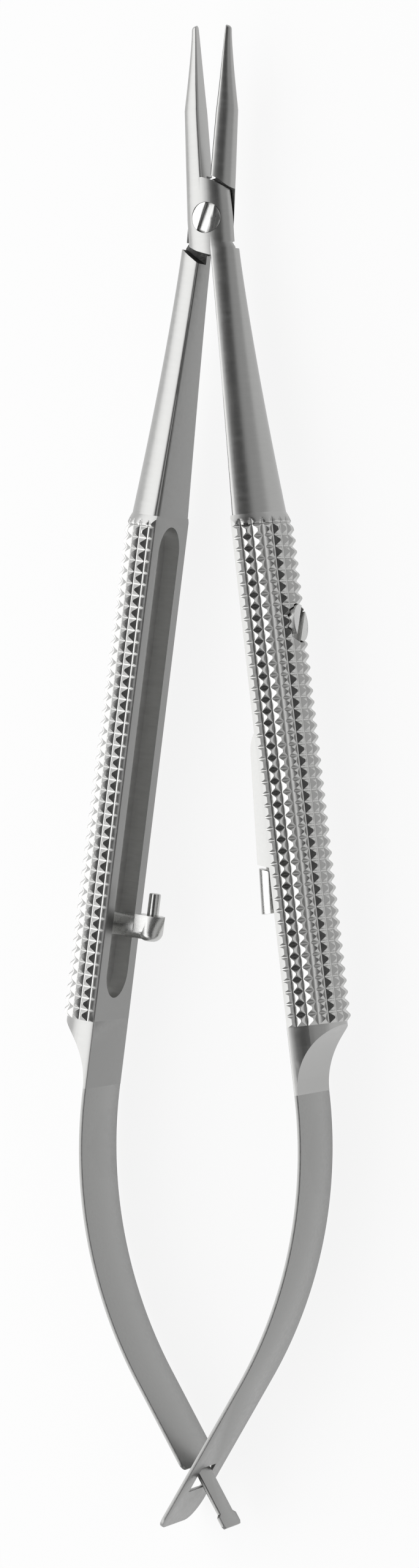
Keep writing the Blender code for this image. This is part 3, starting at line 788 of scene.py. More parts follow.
@dataclass(frozen=True)
class Arm:
    """The forging of one arm: jaw, lap and handle.

    Widths are measured out of the flat, and depths are half of a height. With a power over 1, a size
    changes slowly at first.

    Attributes:
        lap_top_middle: The corner of the lap's upper edge, across and up.
        lap_foot_middle: The corner of its lower edge, across and down.
        jaw_root: The jaw's width and depth at the joint.
        beak: Its width and depth where it starts to taper.
        tip: Its width and depth where the tip's round starts.
        top: The width and depth of the handle's head.
        top_relief: The rise and run of its relieved front edge.
        neck: The width and depth where the neck meets the grip.
        neck_relief: The rise and run of the relieved front edge there.
        cavity: How far below the joint the cavity reaches, at the flat and at the round side.
        cavity_floor: The height of its floor in the arm's frame.
        back_share: The relief of the back edge as a share of the front one's.
        grip_lead: How far into the first groove the neck's finish reaches.
        faced: The side that shows in front, 1 or -1.
        corner_lead: Where the turn from the relief to the round side starts, as a share of the relief.
        jaw_steps: The steps along the jaw: to the beak's step, over it and along the beak.
        tip_turns: The angles that make the tip's round, in degrees.
        jaw_edge_share: The most that the jaw's relieved edge may take of its width.
        neck_power: How slowly the neck's width and its depth change.
        fold: The angle past which an edge is a crease, in degrees.
        tooth_fold: The same on the teeth.
        facing: How squarely a face must look at the flat's side to count as part of it.
        wall_facing: The same for the cavity's walls.
        thin: How near a face must lie to count as in place.
    """

    layout: Layout = field(default_factory=Layout)
    knurl: Knurl = field(default_factory=Knurl)
    seat_gap: float = 0.30 * MM
    run_gap: float = 0.15 * MM
    jaw_shut_gap: float = 0.30 * MM
    half_width: float = 2.92 * MM
    half_depth: float = 1.86 * MM
    narrowing: float = 0.42 * MM
    thinning: float = 0.16 * MM
    lap_top: float = 4.86 * MM
    lap_top_middle: tuple = (1.18 * MM, 4.36 * MM)
    lap_top_side: float = 3.15 * MM
    lap_foot: float = 4.45 * MM
    lap_foot_middle: tuple = (1.48 * MM, 3.86 * MM)
    lap_foot_side: float = 3.05 * MM
    screw_head_radius: float = 1.82 * MM
    screw_head_height: float = 0.95 * MM
    screw_shank_radius: float = 1.05 * MM
    jaw_reach: float = 23.2 * MM
    jaw_root_at: float = 2.6 * MM
    jaw_root: tuple = (2.66 * MM, 1.80 * MM)
    beak_at: float = 13.7 * MM
    beak_step_length: float = 0.6 * MM
    beak_step: float = 0.10 * MM
    beak: tuple = (2.14 * MM, 1.42 * MM)
    tip: tuple = (0.68 * MM, 0.50 * MM)
    tip_round: float = 0.50 * MM
    jaw_edge: float = 0.20 * MM
    handle_top: float = 3.2 * MM
    shoulder_length: float = 0.7 * MM
    shoulder_step: float = 0.33 * MM
    top: tuple = (2.95 * MM, 1.95 * MM)
    top_relief: tuple = (0.10 * MM, 0.16 * MM)
    neck: tuple = (4.92 * MM, 4.92 * MM)
    neck_relief: tuple = (0.30 * MM, 0.45 * MM)
    relief_power: float = 3.0
    neck_end: float = 36.25 * MM
    slot_start: float = 37.2 * MM
    slot_length: float = 57.0 * MM
    slot_width: float = 6.45 * MM
    slot_depth: float = 1.90 * MM
    end_radius: float = 5.35 * MM
    end_edge: float = 0.08 * MM
    sweep_radius: float = 8.5 * MM
    sweep_length: float = 8.0 * MM
    strip: float = 0.45 * MM
    far: float = 10 * MM
    corner_turn: float = 5.0
    cavity: tuple = (5.7 * MM, 3.9 * MM)
    cavity_floor: float = 0.60 * MM
    back_share: float = 0.30
    grip_lead: float = 0.25 * MM
    faced: int = 1
    oval_steps: int = 30
    corner_lead: float = 0.55
    corner_steps: int = 4
    jaw_steps: tuple = (10, 3, 14)
    tip_turns: tuple = (15, 30, 45, 60, 75, 88)
    tip_least: float = 0.01
    jaw_edge_share: float = 0.12
    jaw_thinning_power: float = 1.6
    beak_power: float = 1.2
    neck_power: tuple = (1.5, 1.25)
    neck_steps: int = 28
    joint_steps: int = 96
    slot_end_steps: int = 24
    sweep_steps: int = 32
    sweep_last: float = 95.0
    fold: float = 28.0
    tooth_fold: float = 20.0
    facing: float = 0.9
    wall_facing: float = 0.5
    thin: float = 0.02 * MM

    @property
    def sweep_end(self) -> float:
        """Where the handle has come down to the spring strip."""
        return self.knurl.end + self.sweep_length

    def half_oval(self, width: float, depth: float, rise: float, run: float) -> Points:
        """The section of a half-oval bar with relieved edges on its flat.

        Args:
            width: How far it stands out of the flat.
            depth: Half of its height.
            rise: How far the relief of the faced edge rises out of the flat.
            run: How far that edge stands in.

        Returns:
            The (x, z) points, from the flat's faced edge over the round side to the other one.
        """
        share = self.back_share
        front = self.relieved_edge(width, depth, rise, run)
        back = self.relieved_edge(width, depth, rise * share, run * share)
        corners = (front[-1], back[-1])
        first, last = (math.degrees(math.atan2(z / depth, x / width)) for x, z in corners)
        oval = [math.radians(a) for a in steps_between(first, -last, self.oval_steps)][1:-1]
        points = front + [(width * math.cos(a), depth * math.sin(a)) for a in oval]
        points += [(x, -z) for x, z in reversed(back)]
        return points if self.faced > 0 else [(x, -z) for x, z in reversed(points)]

    def relieved_edge(self, width: float, depth: float, rise: float, run: float) -> Points:
        """The relieved edge between a half-oval's flat and its round side.

        Args:
            width: How far the half-oval stands out of the flat.
            depth: Half of its height.
            rise: How far the relief rises out of the flat.
            run: How far it stands in.

        Returns:
            The (x, z) points, from the flat to the oval.
        """
        foot = Vector((run * math.tan(math.radians(self.knurl.shelf_slope)), depth - run))
        corner = Vector((rise, depth * math.sqrt(1 - (rise / width) ** 2)))
        turn = math.asin(corner.y / depth) - math.radians(self.corner_turn)
        near = foot.lerp(corner, self.corner_lead)
        far = Vector((width * math.cos(turn), depth * math.sin(turn)))
        edge = [Vector((0.0, depth - 2 * run)), foot]
        shares = steps_between(0.0, 1.0, self.corner_steps)
        edge += [near.lerp(corner, share).lerp(corner.lerp(far, share), share) for share in shares]
        return [(point.x, point.y) for point in edge]

    def jaw_section(self, at: float) -> Points:
        """The jaw's section.

        Args:
            at: The distance from the joint.

        Returns:
            The section's (x, z) points.
        """
        step_at = self.beak_at - self.beak_step_length
        round_at = self.jaw_reach - self.tip_round
        if at < step_at:
            share = (at - self.jaw_root_at) / (step_at - self.jaw_root_at)
            width = share_of(self.jaw_root[0], self.beak[0] + self.beak_step, share)
            depth = share_of(self.jaw_root[1], self.beak[1] + self.beak_step, share, self.jaw_thinning_power)
        elif at < self.beak_at:
            share = (self.beak_at - at) / self.beak_step_length
            width = self.beak[0] + self.beak_step * share
            depth = self.beak[1] + self.beak_step * share
        else:
            share = min((at - self.beak_at) / (round_at - self.beak_at), 1.0)
            width = share_of(self.tip[0], self.beak[0], 1 - share, self.beak_power)
            depth = share_of(self.beak[1], self.tip[1], share)
        if at > round_at:
            shrink = math.sqrt(max(1 - ((at - round_at) / self.tip_round) ** 2, self.tip_least))
            width *= shrink
            depth *= shrink
        edge = min(self.jaw_edge, self.jaw_edge_share * width)
        return self.half_oval(width, depth, edge, edge)

    def jaw(self) -> bpy.types.Object:
        """The jaw, from inside the lap to the rounded tip.

        Returns:
            The jaw in the arm's frame.
        """
        piece = Piece("jaw")
        step_at = self.beak_at - self.beak_step_length
        round_at = self.jaw_reach - self.tip_round
        ends = (self.jaw_root_at, step_at, self.beak_at, round_at)
        stations = [self.jaw_root_at]
        for start, end, steps in zip(ends, ends[1:], self.jaw_steps):
            stations += steps_between(start, end, steps)[1:]
        stations += [round_at + self.tip_round * math.sin(math.radians(a)) for a in self.tip_turns]
        piece.loft(self.jaw_section, stations)
        return piece.turn(
            Matrix.Translation((-self.jaw_shut_gap / 2, 0, 0)) @ Matrix.Rotation(math.pi, 4, "Z")
        ).finish()

    def neck_section(self, at: float) -> Points:
        """The smooth upper handle's section.

        Args:
            at: The distance from the joint.

        Returns:
            The section's (x, z) points.
        """
        full_at = self.handle_top + self.shoulder_length
        share = min(max((at - full_at) / (self.neck_end - full_at), 0.0), 1.0)
        step = self.shoulder_step * max(full_at - at, 0.0) / self.shoulder_length
        width = share_of(self.top[0], self.neck[0], share, self.neck_power[0]) - step
        depth = share_of(self.top[1], self.neck[1], share, self.neck_power[1]) - step / 2
        rise = share_of(self.top_relief[0], self.neck_relief[0], share, self.relief_power)
        run = share_of(self.top_relief[1], self.neck_relief[1], share)
        return self.half_oval(width, depth, rise, run)

    def end_section(self, at: float) -> Points:
        """The end bar's section, which is the same all along."""
        return self.half_oval(self.end_radius, self.end_radius, self.end_edge, self.end_edge)

    def handle(self) -> bpy.types.Object:
        """The handle: smooth neck, grip, and the end bar that the sweep is cut from.

        Returns:
            The handle in the arm's frame.
        """
        neck = Piece("neck")
        full_at = self.handle_top + self.shoulder_length
        stations = steps_between(full_at, self.knurl.start - self.knurl.floor, self.neck_steps)
        neck.loft(self.neck_section, [self.handle_top] + stations + [self.neck_end])
        handle = neck.turn(self.layout.flat()).finish()
        for grip in (self.knurl.collar(self.faced), self.knurl.teeth(self.faced)):
            grip.data.transform(self.layout.flat())
            combine(handle, grip, Cut.JOIN)
        bar = Piece("end_bar")
        bar.loft(self.end_section, steps_between(self.knurl.end - self.knurl.pitch / 4, self.sweep_end, 2))
        combine(handle, bar.turn(self.layout.flat()).finish(), Cut.JOIN)
        return handle

    def lap_outline(self, grow: float = 0.0) -> Points:
        """The lap seen from the front.

        Args:
            grow: How far its free edges stand out.

        Returns:
            The outline's (x, y) points, which run out past the joint at the side.
        """
        side = self.half_width + self.far
        top_x, top_y = self.lap_top_middle
        foot_x, foot_y = self.lap_foot_middle
        top_slope = (top_y - self.lap_top_side) / (self.half_width - top_x)
        foot_slope = (foot_y - self.lap_foot_side) / (self.half_width - foot_x)
        lift = grow / math.cos(math.atan(top_slope))
        return [
            (-side, self.lap_top + lift),
            (-self.jaw_shut_gap / 2, self.lap_top + lift),
            (top_x, top_y + lift),
            (side, self.lap_top_side - top_slope * self.far + lift),
            (side, -self.lap_foot - lift),
            (self.layout.flat_offset, -self.lap_foot - lift),
            (-foot_x, -foot_y - lift),
            (-side, -self.lap_foot_side + foot_slope * self.far - lift),
        ]

    def joint_oval(self) -> bpy.types.Object:
        """The joint's oval bar, which narrows toward the jaws.

        Returns:
            The bar in the arm's frame.
        """
        piece = Piece("joint_oval")
        turns = [math.tau * step / self.joint_steps for step in range(self.joint_steps)]

        def section(at: float) -> Points:
            """The oval at a distance from the joint, where what is less than 0 is on the jaws' side."""
            taper = max(-at, 0.0) / self.far
            width = self.half_width - self.narrowing * taper
            depth = self.half_depth - self.thinning * taper
            return [(width * math.cos(a), depth * math.sin(a)) for a in turns]

        piece.loft(section, [self.far, 0.0, -self.far])
        return piece.finish()

    def lap(self) -> bpy.types.Object:
        """The upper half of the lap joint."""
        piece = Piece("lap").plate(self.lap_outline(), self.seat_gap / 2, self.half_depth + self.far)
        return combine(piece.finish(), self.joint_oval(), Cut.KEEP)

    def pocket(self, turn: float) -> bpy.types.Object:
        """The cutter that makes room for the other arm's lap.

        Args:
            turn: How far that arm is turned, in degrees.

        Returns:
            The cutter in this arm's frame.
        """
        mirrored = [(-x, y) for x, y in reversed(self.lap_outline(self.seat_gap))]
        piece = Piece("pocket").plate(mirrored, -self.far, self.seat_gap / 2)
        return piece.turn(Matrix.Rotation(math.radians(turn), 4, "Z")).finish()

    def cavity_cutter(self) -> bpy.types.Object:
        """The cutter of the open cavity between the handle's head and the other arm's lap.

        Returns:
            The cutter in the arm's frame.
        """
        inner, outer = self.cavity
        outline = [
            (-self.far, -inner),
            (self.layout.flat_offset, -inner),
            (self.half_width, -outer),
            (self.far, -outer),
            (self.far, -self.lap_foot_side),
            (-self.far, -self.lap_foot_side),
        ]
        return Piece("cavity").plate(outline, -self.far, self.cavity_floor).finish()

    def slot(self) -> bpy.types.Object:
        """The cutter of the round-ended slot in the flat.

        Returns:
            The cutter in the arm's frame.
        """
        half = self.slot_width / 2
        outline = arc((0, -half), half, 0, 180, self.slot_end_steps)
        outline += arc((0, half - self.slot_length), half, 180, 360, self.slot_end_steps)
        piece = Piece("slot").plate(outline, -self.far, self.slot_depth)
        return piece.turn(self.layout.flat(self.slot_start) @ Matrix.Rotation(math.pi / 2, 4, "Y")).finish()

    def sweep(self) -> bpy.types.Object:
        """The cutter that brings the end bar down to the strip.

        Returns:
            The cutter in the arm's frame.
        """
        centre = (self.strip + self.sweep_radius, -self.sweep_end)
        curve = arc(centre, self.sweep_radius, 180, self.sweep_last, self.sweep_steps)
        side, below = centre[0] + self.far, -self.sweep_end - self.far
        outline = [(self.strip, below)] + curve + [(side, curve[-1][1]), (side, below)]
        piece = Piece("sweep").plate(outline, -self.far, self.far)
        return piece.turn(self.layout.flat()).finish()

    def forging(self, name: str) -> bpy.types.Object:
        """Makes one arm in its own frame, with the jaws shut.

        Args:
            name: The piece's name.

        Returns:
            The arm, not dressed yet.
        """
        arm = self.lap()
        arm.name = name
        combine(arm, self.handle(), Cut.JOIN)
        combine(arm, self.jaw(), Cut.JOIN)
        for turn in (0, -self.layout.open_angle, -2 * self.layout.open_angle):
            combine(arm, self.pocket(turn), Cut.REMOVE)
        combine(arm, self.cavity_cutter(), Cut.REMOVE)
        hole = Piece("hole").rod(self.screw_shank_radius + self.run_gap, -self.far, self.far)
        combine(arm, hole.finish(), Cut.REMOVE)
        combine(arm, self.slot(), Cut.REMOVE)
        combine(arm, self.sweep(), Cut.REMOVE)
        return arm

    def dress(self, arm: bpy.types.Object, satin: Finish, milled: Finish) -> None:
        """Gives an arm's faces their finishes and creases its folds.

        Args:
            arm: The arm, still in its own frame.
            satin: The finish of the smooth round faces.
            milled: The finish inside the slot, whose raised shade is painted light.
        """
        mesh = arm.data
        mesh.materials.clear()
        for finish in (satin, KNURLED, milled, GROUND_FLAT_PAINTED_SHADE, POCKET_PAINTED_SHADE):
            mesh.materials.append(finish.material())
        mesh.shade_smooth()
        to_flat = self.layout.flat().inverted()
        bm = bmesh.new()
        bm.from_mesh(mesh)
        for face in bm.faces:
            face.material_index = self.region(face, to_flat)
        for edge in bm.edges:
            folded = len(edge.link_faces) == 2 and edge.calc_face_angle() > self.fold_limit(edge)
            edge.smooth = not folded
        bm.to_mesh(mesh)
        bm.free()

    def region(self, face: bmesh.types.BMFace, to_flat: Matrix) -> int:
        """Which of the arm's finishes a face has.

        Args:
            face: A face of the arm in its own frame.
            to_flat: Turns the arm's frame into that of the handle's flat.

        Returns:
            0 round side, 1 grip, 2 slot (lightened by painted light), 3 flat (darkened by painted shade), 4
            pocket (painted shade).
        """
        middle = face.calc_center_median()
        x, at, z = to_flat @ middle
        in_slot = -self.slot_start > at > -self.slot_start - self.slot_length
        in_slot = in_slot and abs(z) < self.slot_width / 2 + self.thin
        on_grip = -self.knurl.first_ring + self.grip_lead > at > -self.knurl.end - self.knurl.floor
        # Slot faces take the slot's raised shade, which is painted light.
        if in_slot and self.thin < x < self.slot_depth + self.thin:
            return 2
        if on_grip and math.hypot(x, z) > self.knurl.neck_radius and x > self.edge_relief_rise(z):
            return 1
        # Cavity faces take the pocket's near-black shade, which is painted shade.
        if abs(middle.y) < self.cavity[0] + self.thin and middle.z < self.cavity_floor + self.thin:
            floors = (self.seat_gap / 2, self.cavity_floor)
            on_floor = min(abs(middle.z - floor) for floor in floors) < self.thin
            if on_floor and face.normal.z < -self.facing or abs(face.normal.y) > self.wall_facing:
                return 4
        # Flat faces take the flats' darker shade, which is painted shade.
        if abs(x) < self.thin and (to_flat.to_3x3() @ face.normal).x < -self.facing:
            return 3
        return 0

    def edge_relief_rise(self, z: float) -> float:
        """How far out of the flat the grip's relieved edge stands.

        Args:
            z: The place across the flat.

        Returns:
            The distance out of the flat.
        """
        run = self.knurl.edge_run if z * self.faced > 0 else self.knurl.back_run
        outside = abs(z) - (self.knurl.ring_root - run)
        return max(outside, 0.0) * math.tan(math.radians(self.knurl.edge_slope)) + self.thin

    def fold_limit(self, edge: bmesh.types.BMEdge) -> float:
        """The angle past which an edge shows as a crease, which is narrower on the teeth."""
        on_teeth = all(face.material_index == 1 for face in edge.link_faces)
        return math.radians(self.tooth_fold if on_teeth else self.fold)


@dataclass(frozen=True)
class CatchScrew:
    """The catch's screw: its place along the handle, its head and its shank."""

    at: float = 49.4 * MM
    head_radius: float = 2.20 * MM
    head_top: float = 5.55 * MM
    head_height: float = 1.70 * MM
    shank_radius: float = 1.00 * MM


@dataclass(frozen=True)
class Arms:
    """The pair of arms, one turned over onto the other."""

    front: Arm = field(default_factory=lambda: Arm(knurl=Knurl(flute_turn=3.4)))
    rear: Arm = field(default_factory=lambda: Arm(faced=-1))
    catch_screw: CatchScrew = field(default_factory=CatchScrew)
    recess_gap: float = 0.04 * MM
    recess_segments: int = 96

    def build(self) -> None:
        """Builds both arms and hangs them on their bodies."""
        front = self.bored(self.front.forging("front_arm_forging"))
        rear = self.rear.forging("rear_arm_forging")
        layout = self.front.layout
        self.front.dress(front, SATIN_FRONT, MILLED_FRONT_PAINTED_LIGHT)
        self.rear.dress(rear, SATIN_REAR, MILLED_REAR_PAINTED_LIGHT)
        front.data.transform(layout.front())
        rear.data.transform(layout.rear())
        settle(front, "front_arm", "front_arm")
        settle(rear, "rear_arm", "rear_arm")

    def bored(self, arm: bpy.types.Object) -> bpy.types.Object:
        """Cuts the recess of the joint screw's head and the seat of the catch screw.

        Args:
            arm: The front arm, in its own frame.

        Returns:
            The same arm.
        """
        make, screw = self.front, self.catch_screw
        seat = make.half_depth - make.screw_head_height - make.run_gap
        recess = Piece("recess")
        recess.rod(make.screw_head_radius + self.recess_gap, seat, make.far, self.recess_segments)
        combine(arm, recess.finish(), Cut.REMOVE)
        across = make.layout.flat(screw.at) @ Matrix.Rotation(math.pi / 2, 4, "Y")
        hole = Piece("catch_hole").rod(screw.shank_radius + make.run_gap, 0, make.far).turn(across)
        combine(arm, hole.finish(), Cut.REMOVE)
        floor = screw.head_top - screw.head_height - make.run_gap
        seat = Piece("catch_seat").rod(screw.head_radius + make.run_gap, floor, make.far).turn(across)
        return combine(arm, seat.finish(), Cut.REMOVE)


@dataclass(frozen=True)
class JointScrew:
    """The slotted joint screw, ground flush with the joint."""

    arm: Arm = field(default_factory=Arm)
    slot_width: float = 1.15 * MM
    slot_depth: float = 0.60 * MM
    slot_turn: float = -15.0
    edge: float = 0.05 * MM
    segments: int = 96
    ground_off: float = 1.0 * MM

    def build(self) -> None:
        """Builds the screw and hangs it on the rear arm."""
        make = self.arm
        base = make.half_depth - make.screw_head_height
        head = Piece("joint_screw_ground")
        head.rod(make.screw_head_radius, base, make.half_depth + self.ground_off, self.segments)
        screw = head.finish()
        shank = Piece("shank").rod(make.screw_shank_radius, -make.far, base + SHANK_LAP)
        combine(screw, shank.finish(), Cut.JOIN)
        combine(screw, make.joint_oval(), Cut.KEEP)
        half, floor = self.slot_width / 2, make.half_depth - self.slot_depth
        slot = Piece("slot").block((-half, -make.far, floor), (half, make.far, make.far))
        slot.turn(Matrix.Rotation(math.radians(self.slot_turn), 4, "Z"))
        combine(screw, slot.finish(), Cut.REMOVE)
        soften(screw, self.edge)
        shade(screw, SCREW)
        screw.data.transform(make.layout.closed())
        settle(screw, "rear_arm", "joint_screw")


@dataclass(frozen=True)
class SpringLeaves:
    """The two spring strips: one with a window, the other with a T-ended tongue through it."""

    layout: Layout = field(default_factory=Layout)
    start_at: float = 104.984 * MM
    gap: float = 0.30 * MM
    thickness: float = 0.45 * MM
    width: float = 10.70 * MM
    bend_radius: float = 54.3 * MM
    tail_lean: float = 30.4
    window_above: float = 0.95 * MM
    window_below: float = 2.40 * MM
    tongue_width: float = 3.90 * MM
    tongue_gap: float = 0.25 * MM
    tongue_shoulder: float = 0.95 * MM
    shoulder_round: float = 1.10 * MM
    tee_at: float = 5.45 * MM
    tee_length: float = 1.85 * MM
    tee_width: float = 5.20 * MM
    tee_round: float = 0.35 * MM
    windowed_tail: float = 7.2 * MM
    tail_near_round: float = 1.4 * MM
    tail_far_round: float = 3.0 * MM
    edge: float = 0.07 * MM
    stations: int = 56
    turning_zone: float = 28 * MM
    corner_steps: tuple = (12, 10)
    level_fold: float = 1.0
    rim_fold: float = 60.0

    @property
    def bend(self) -> float:
        """The angle that the leaf is bent through, in radians."""
        return math.radians(self.layout.flat_splay + self.layout.open_angle + self.tail_lean)

    @property
    def bend_length(self) -> float:
        """The length of the bent part."""
        return self.bend_radius * self.bend

    def frame(self) -> Matrix:
        """The leaf's root in its arm's frame."""
        return self.layout.flat(self.start_at + self.gap / 2, self.thickness / 2)

    def bent(self, length: float, offset: float, z: float) -> Vector:
        """Where a point of the flat blank lies once the blank is bent.

        Args:
            length: The distance along the leaf.
            offset: The distance out of its middle.
            z: The place across its width.

        Returns:
            The place in the leaf's frame.
        """
        turn = min(max(length, 0.0), self.bend_length) / self.bend_radius
        straight = max(length - self.bend_length, 0.0) + min(length, 0.0)
        x = -self.bend_radius * (1 - math.cos(turn)) - straight * math.sin(turn)
        y = -self.bend_radius * math.sin(turn) - straight * math.cos(turn)
        return Vector((x + offset * math.cos(turn), y - offset * math.sin(turn) - self.gap / 2, z))

    def crossing(self) -> float:
        """The length at which a leaf meets the holder's middle line.

        Returns:
            The length along the leaf.
        """
        rest = Matrix.Rotation(math.radians(self.layout.open_angle), 4, "Z") @ self.frame()
        bend_end = rest @ self.bent(self.bend_length, 0.0, 0.0)
        return self.bend_length + bend_end.x / math.sin(math.radians(self.tail_lean))

    def leaf(self, name: str, outline: list, window: list) -> bpy.types.Object:
        """Cuts a leaf from the strip, softens its edges and bends it.

        Args:
            name: The piece's name.
            outline: The blank's (length, z) points.
            window: The points of its window, or none.

        Returns:
            The leaf in its own frame.
        """
        piece = Piece(name)
        edges = []
        for loop in filter(None, (outline, window)):
            verts = [piece.bm.verts.new((-self.thickness / 2, -length, z)) for length, z in loop]
            edges += [piece.bm.edges.new(pair) for pair in zip(verts, verts[1:] + verts[:1])]
        bmesh.ops.triangle_fill(piece.bm, edges=edges, use_beauty=True)
        bmesh.ops.dissolve_limit(
            piece.bm,
            angle_limit=math.radians(self.level_fold),
            verts=piece.bm.verts,
            edges=piece.bm.edges,
        )
        raised = bmesh.ops.extrude_face_region(piece.bm, geom=piece.bm.faces[:])["geom"]
        tops = [item for item in raised if isinstance(item, bmesh.types.BMVert)]
        bmesh.ops.translate(piece.bm, verts=tops, vec=(self.thickness, 0, 0))
        bmesh.ops.recalc_face_normals(piece.bm, faces=piece.bm.faces)
        rims = [e for e in piece.bm.edges if self.is_rim(e)]
        piece.round_off(rims, self.edge)
        for at in steps_between(0.0, self.bend_length, self.stations):
            geom = piece.bm.verts[:] + piece.bm.edges[:] + piece.bm.faces[:]
            bmesh.ops.bisect_plane(
                piece.bm, geom=geom, plane_co=(0, -at, 0), plane_no=(0, 1, 0), dist=ON_STATION
            )
        for vert in piece.bm.verts:
            vert.co = self.bent(-vert.co.y, vert.co.x, vert.co.z)
        return piece.finish()

    def is_rim(self, edge: bmesh.types.BMEdge) -> bool:
        """Whether an edge runs round the blank's face, away from the root.

        Args:
            edge: An edge of the flat blank.

        Returns:
            True if it is one to soften.
        """
        folded = len(edge.link_faces) == 2 and edge.calc_face_angle() > math.radians(self.rim_fold)
        level = abs(edge.verts[0].co.x - edge.verts[1].co.x) < self.thickness / 2
        at_root = all(-vert.co.y < -self.gap / 2 for vert in edge.verts)
        return folded and level and not at_root

    def windowed(self) -> bpy.types.Object:
        """The leaf with the window.

        Returns:
            The leaf in its own frame.
        """
        half, cross, root = self.width / 2, self.crossing(), -self.gap
        end = cross + self.windowed_tail
        far_round, near_round = self.tail_far_round, self.tail_near_round
        far_steps, near_steps = self.corner_steps
        far = arc((end - far_round, far_round - half), far_round, 270, 360, far_steps)
        near = arc((end - near_round, half - near_round), near_round, 0, 90, near_steps)
        low, high = cross - self.window_above, cross + self.window_below
        side = self.tongue_width / 2 + self.tongue_gap
        window = [(low, side), (low, -side), (high, -side), (high, side)]
        return self.leaf("windowed_leaf_strip", [(root, half), (root, -half)] + far + near, window)

    def tongued(self) -> bpy.types.Object:
        """The leaf with the T-ended tongue.

        Returns:
            The leaf in its own frame.
        """
        half, cross, root = self.width / 2, self.crossing(), -self.gap
        shoulder, tee = cross - self.tongue_shoulder, cross + self.tee_at
        end = tee + self.tee_length
        side, wide = self.tongue_width / 2, self.tee_width / 2
        turn = self.shoulder_round
        lower = [(root, -half)] + arc((shoulder - turn, turn - half), turn, 270, 360, self.corner_steps[1])
        lower += [(shoulder, -side), (tee, -side), (tee + self.tee_round, -wide)]
        lower += [(end - self.tee_round, -wide), (end, self.tee_round - wide)]
        upper = [(length, -z) for length, z in reversed(lower)]
        return self.leaf("tongued_leaf_strip", lower + upper, [])

    def build(self) -> None:
        """Builds both leaves, sets each in its arm's frame and hides the node that it stands for."""
        pairs = (
            (self.windowed(), self.layout.front(), "front_arm", "windowed_leaf"),
            (self.tongued(), self.layout.rear(), "rear_arm", "tongued_leaf"),
        )
        for leaf, arm_frame, arm, body in pairs:
            shade(leaf, SPRING_PAINTED_SHADE)
            place = arm_frame @ self.frame()
            leaf.data.transform(place)
            start = place @ self.bent(0.0, 0.0, 0.0)
            end = place @ self.bent(self.turning_zone, 0.0, 0.0)
            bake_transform(leaf)
            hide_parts(body)
            LOG.info("%s: %d faces, from %s to %s", leaf.name, len(leaf.data.polygons), arm, body)


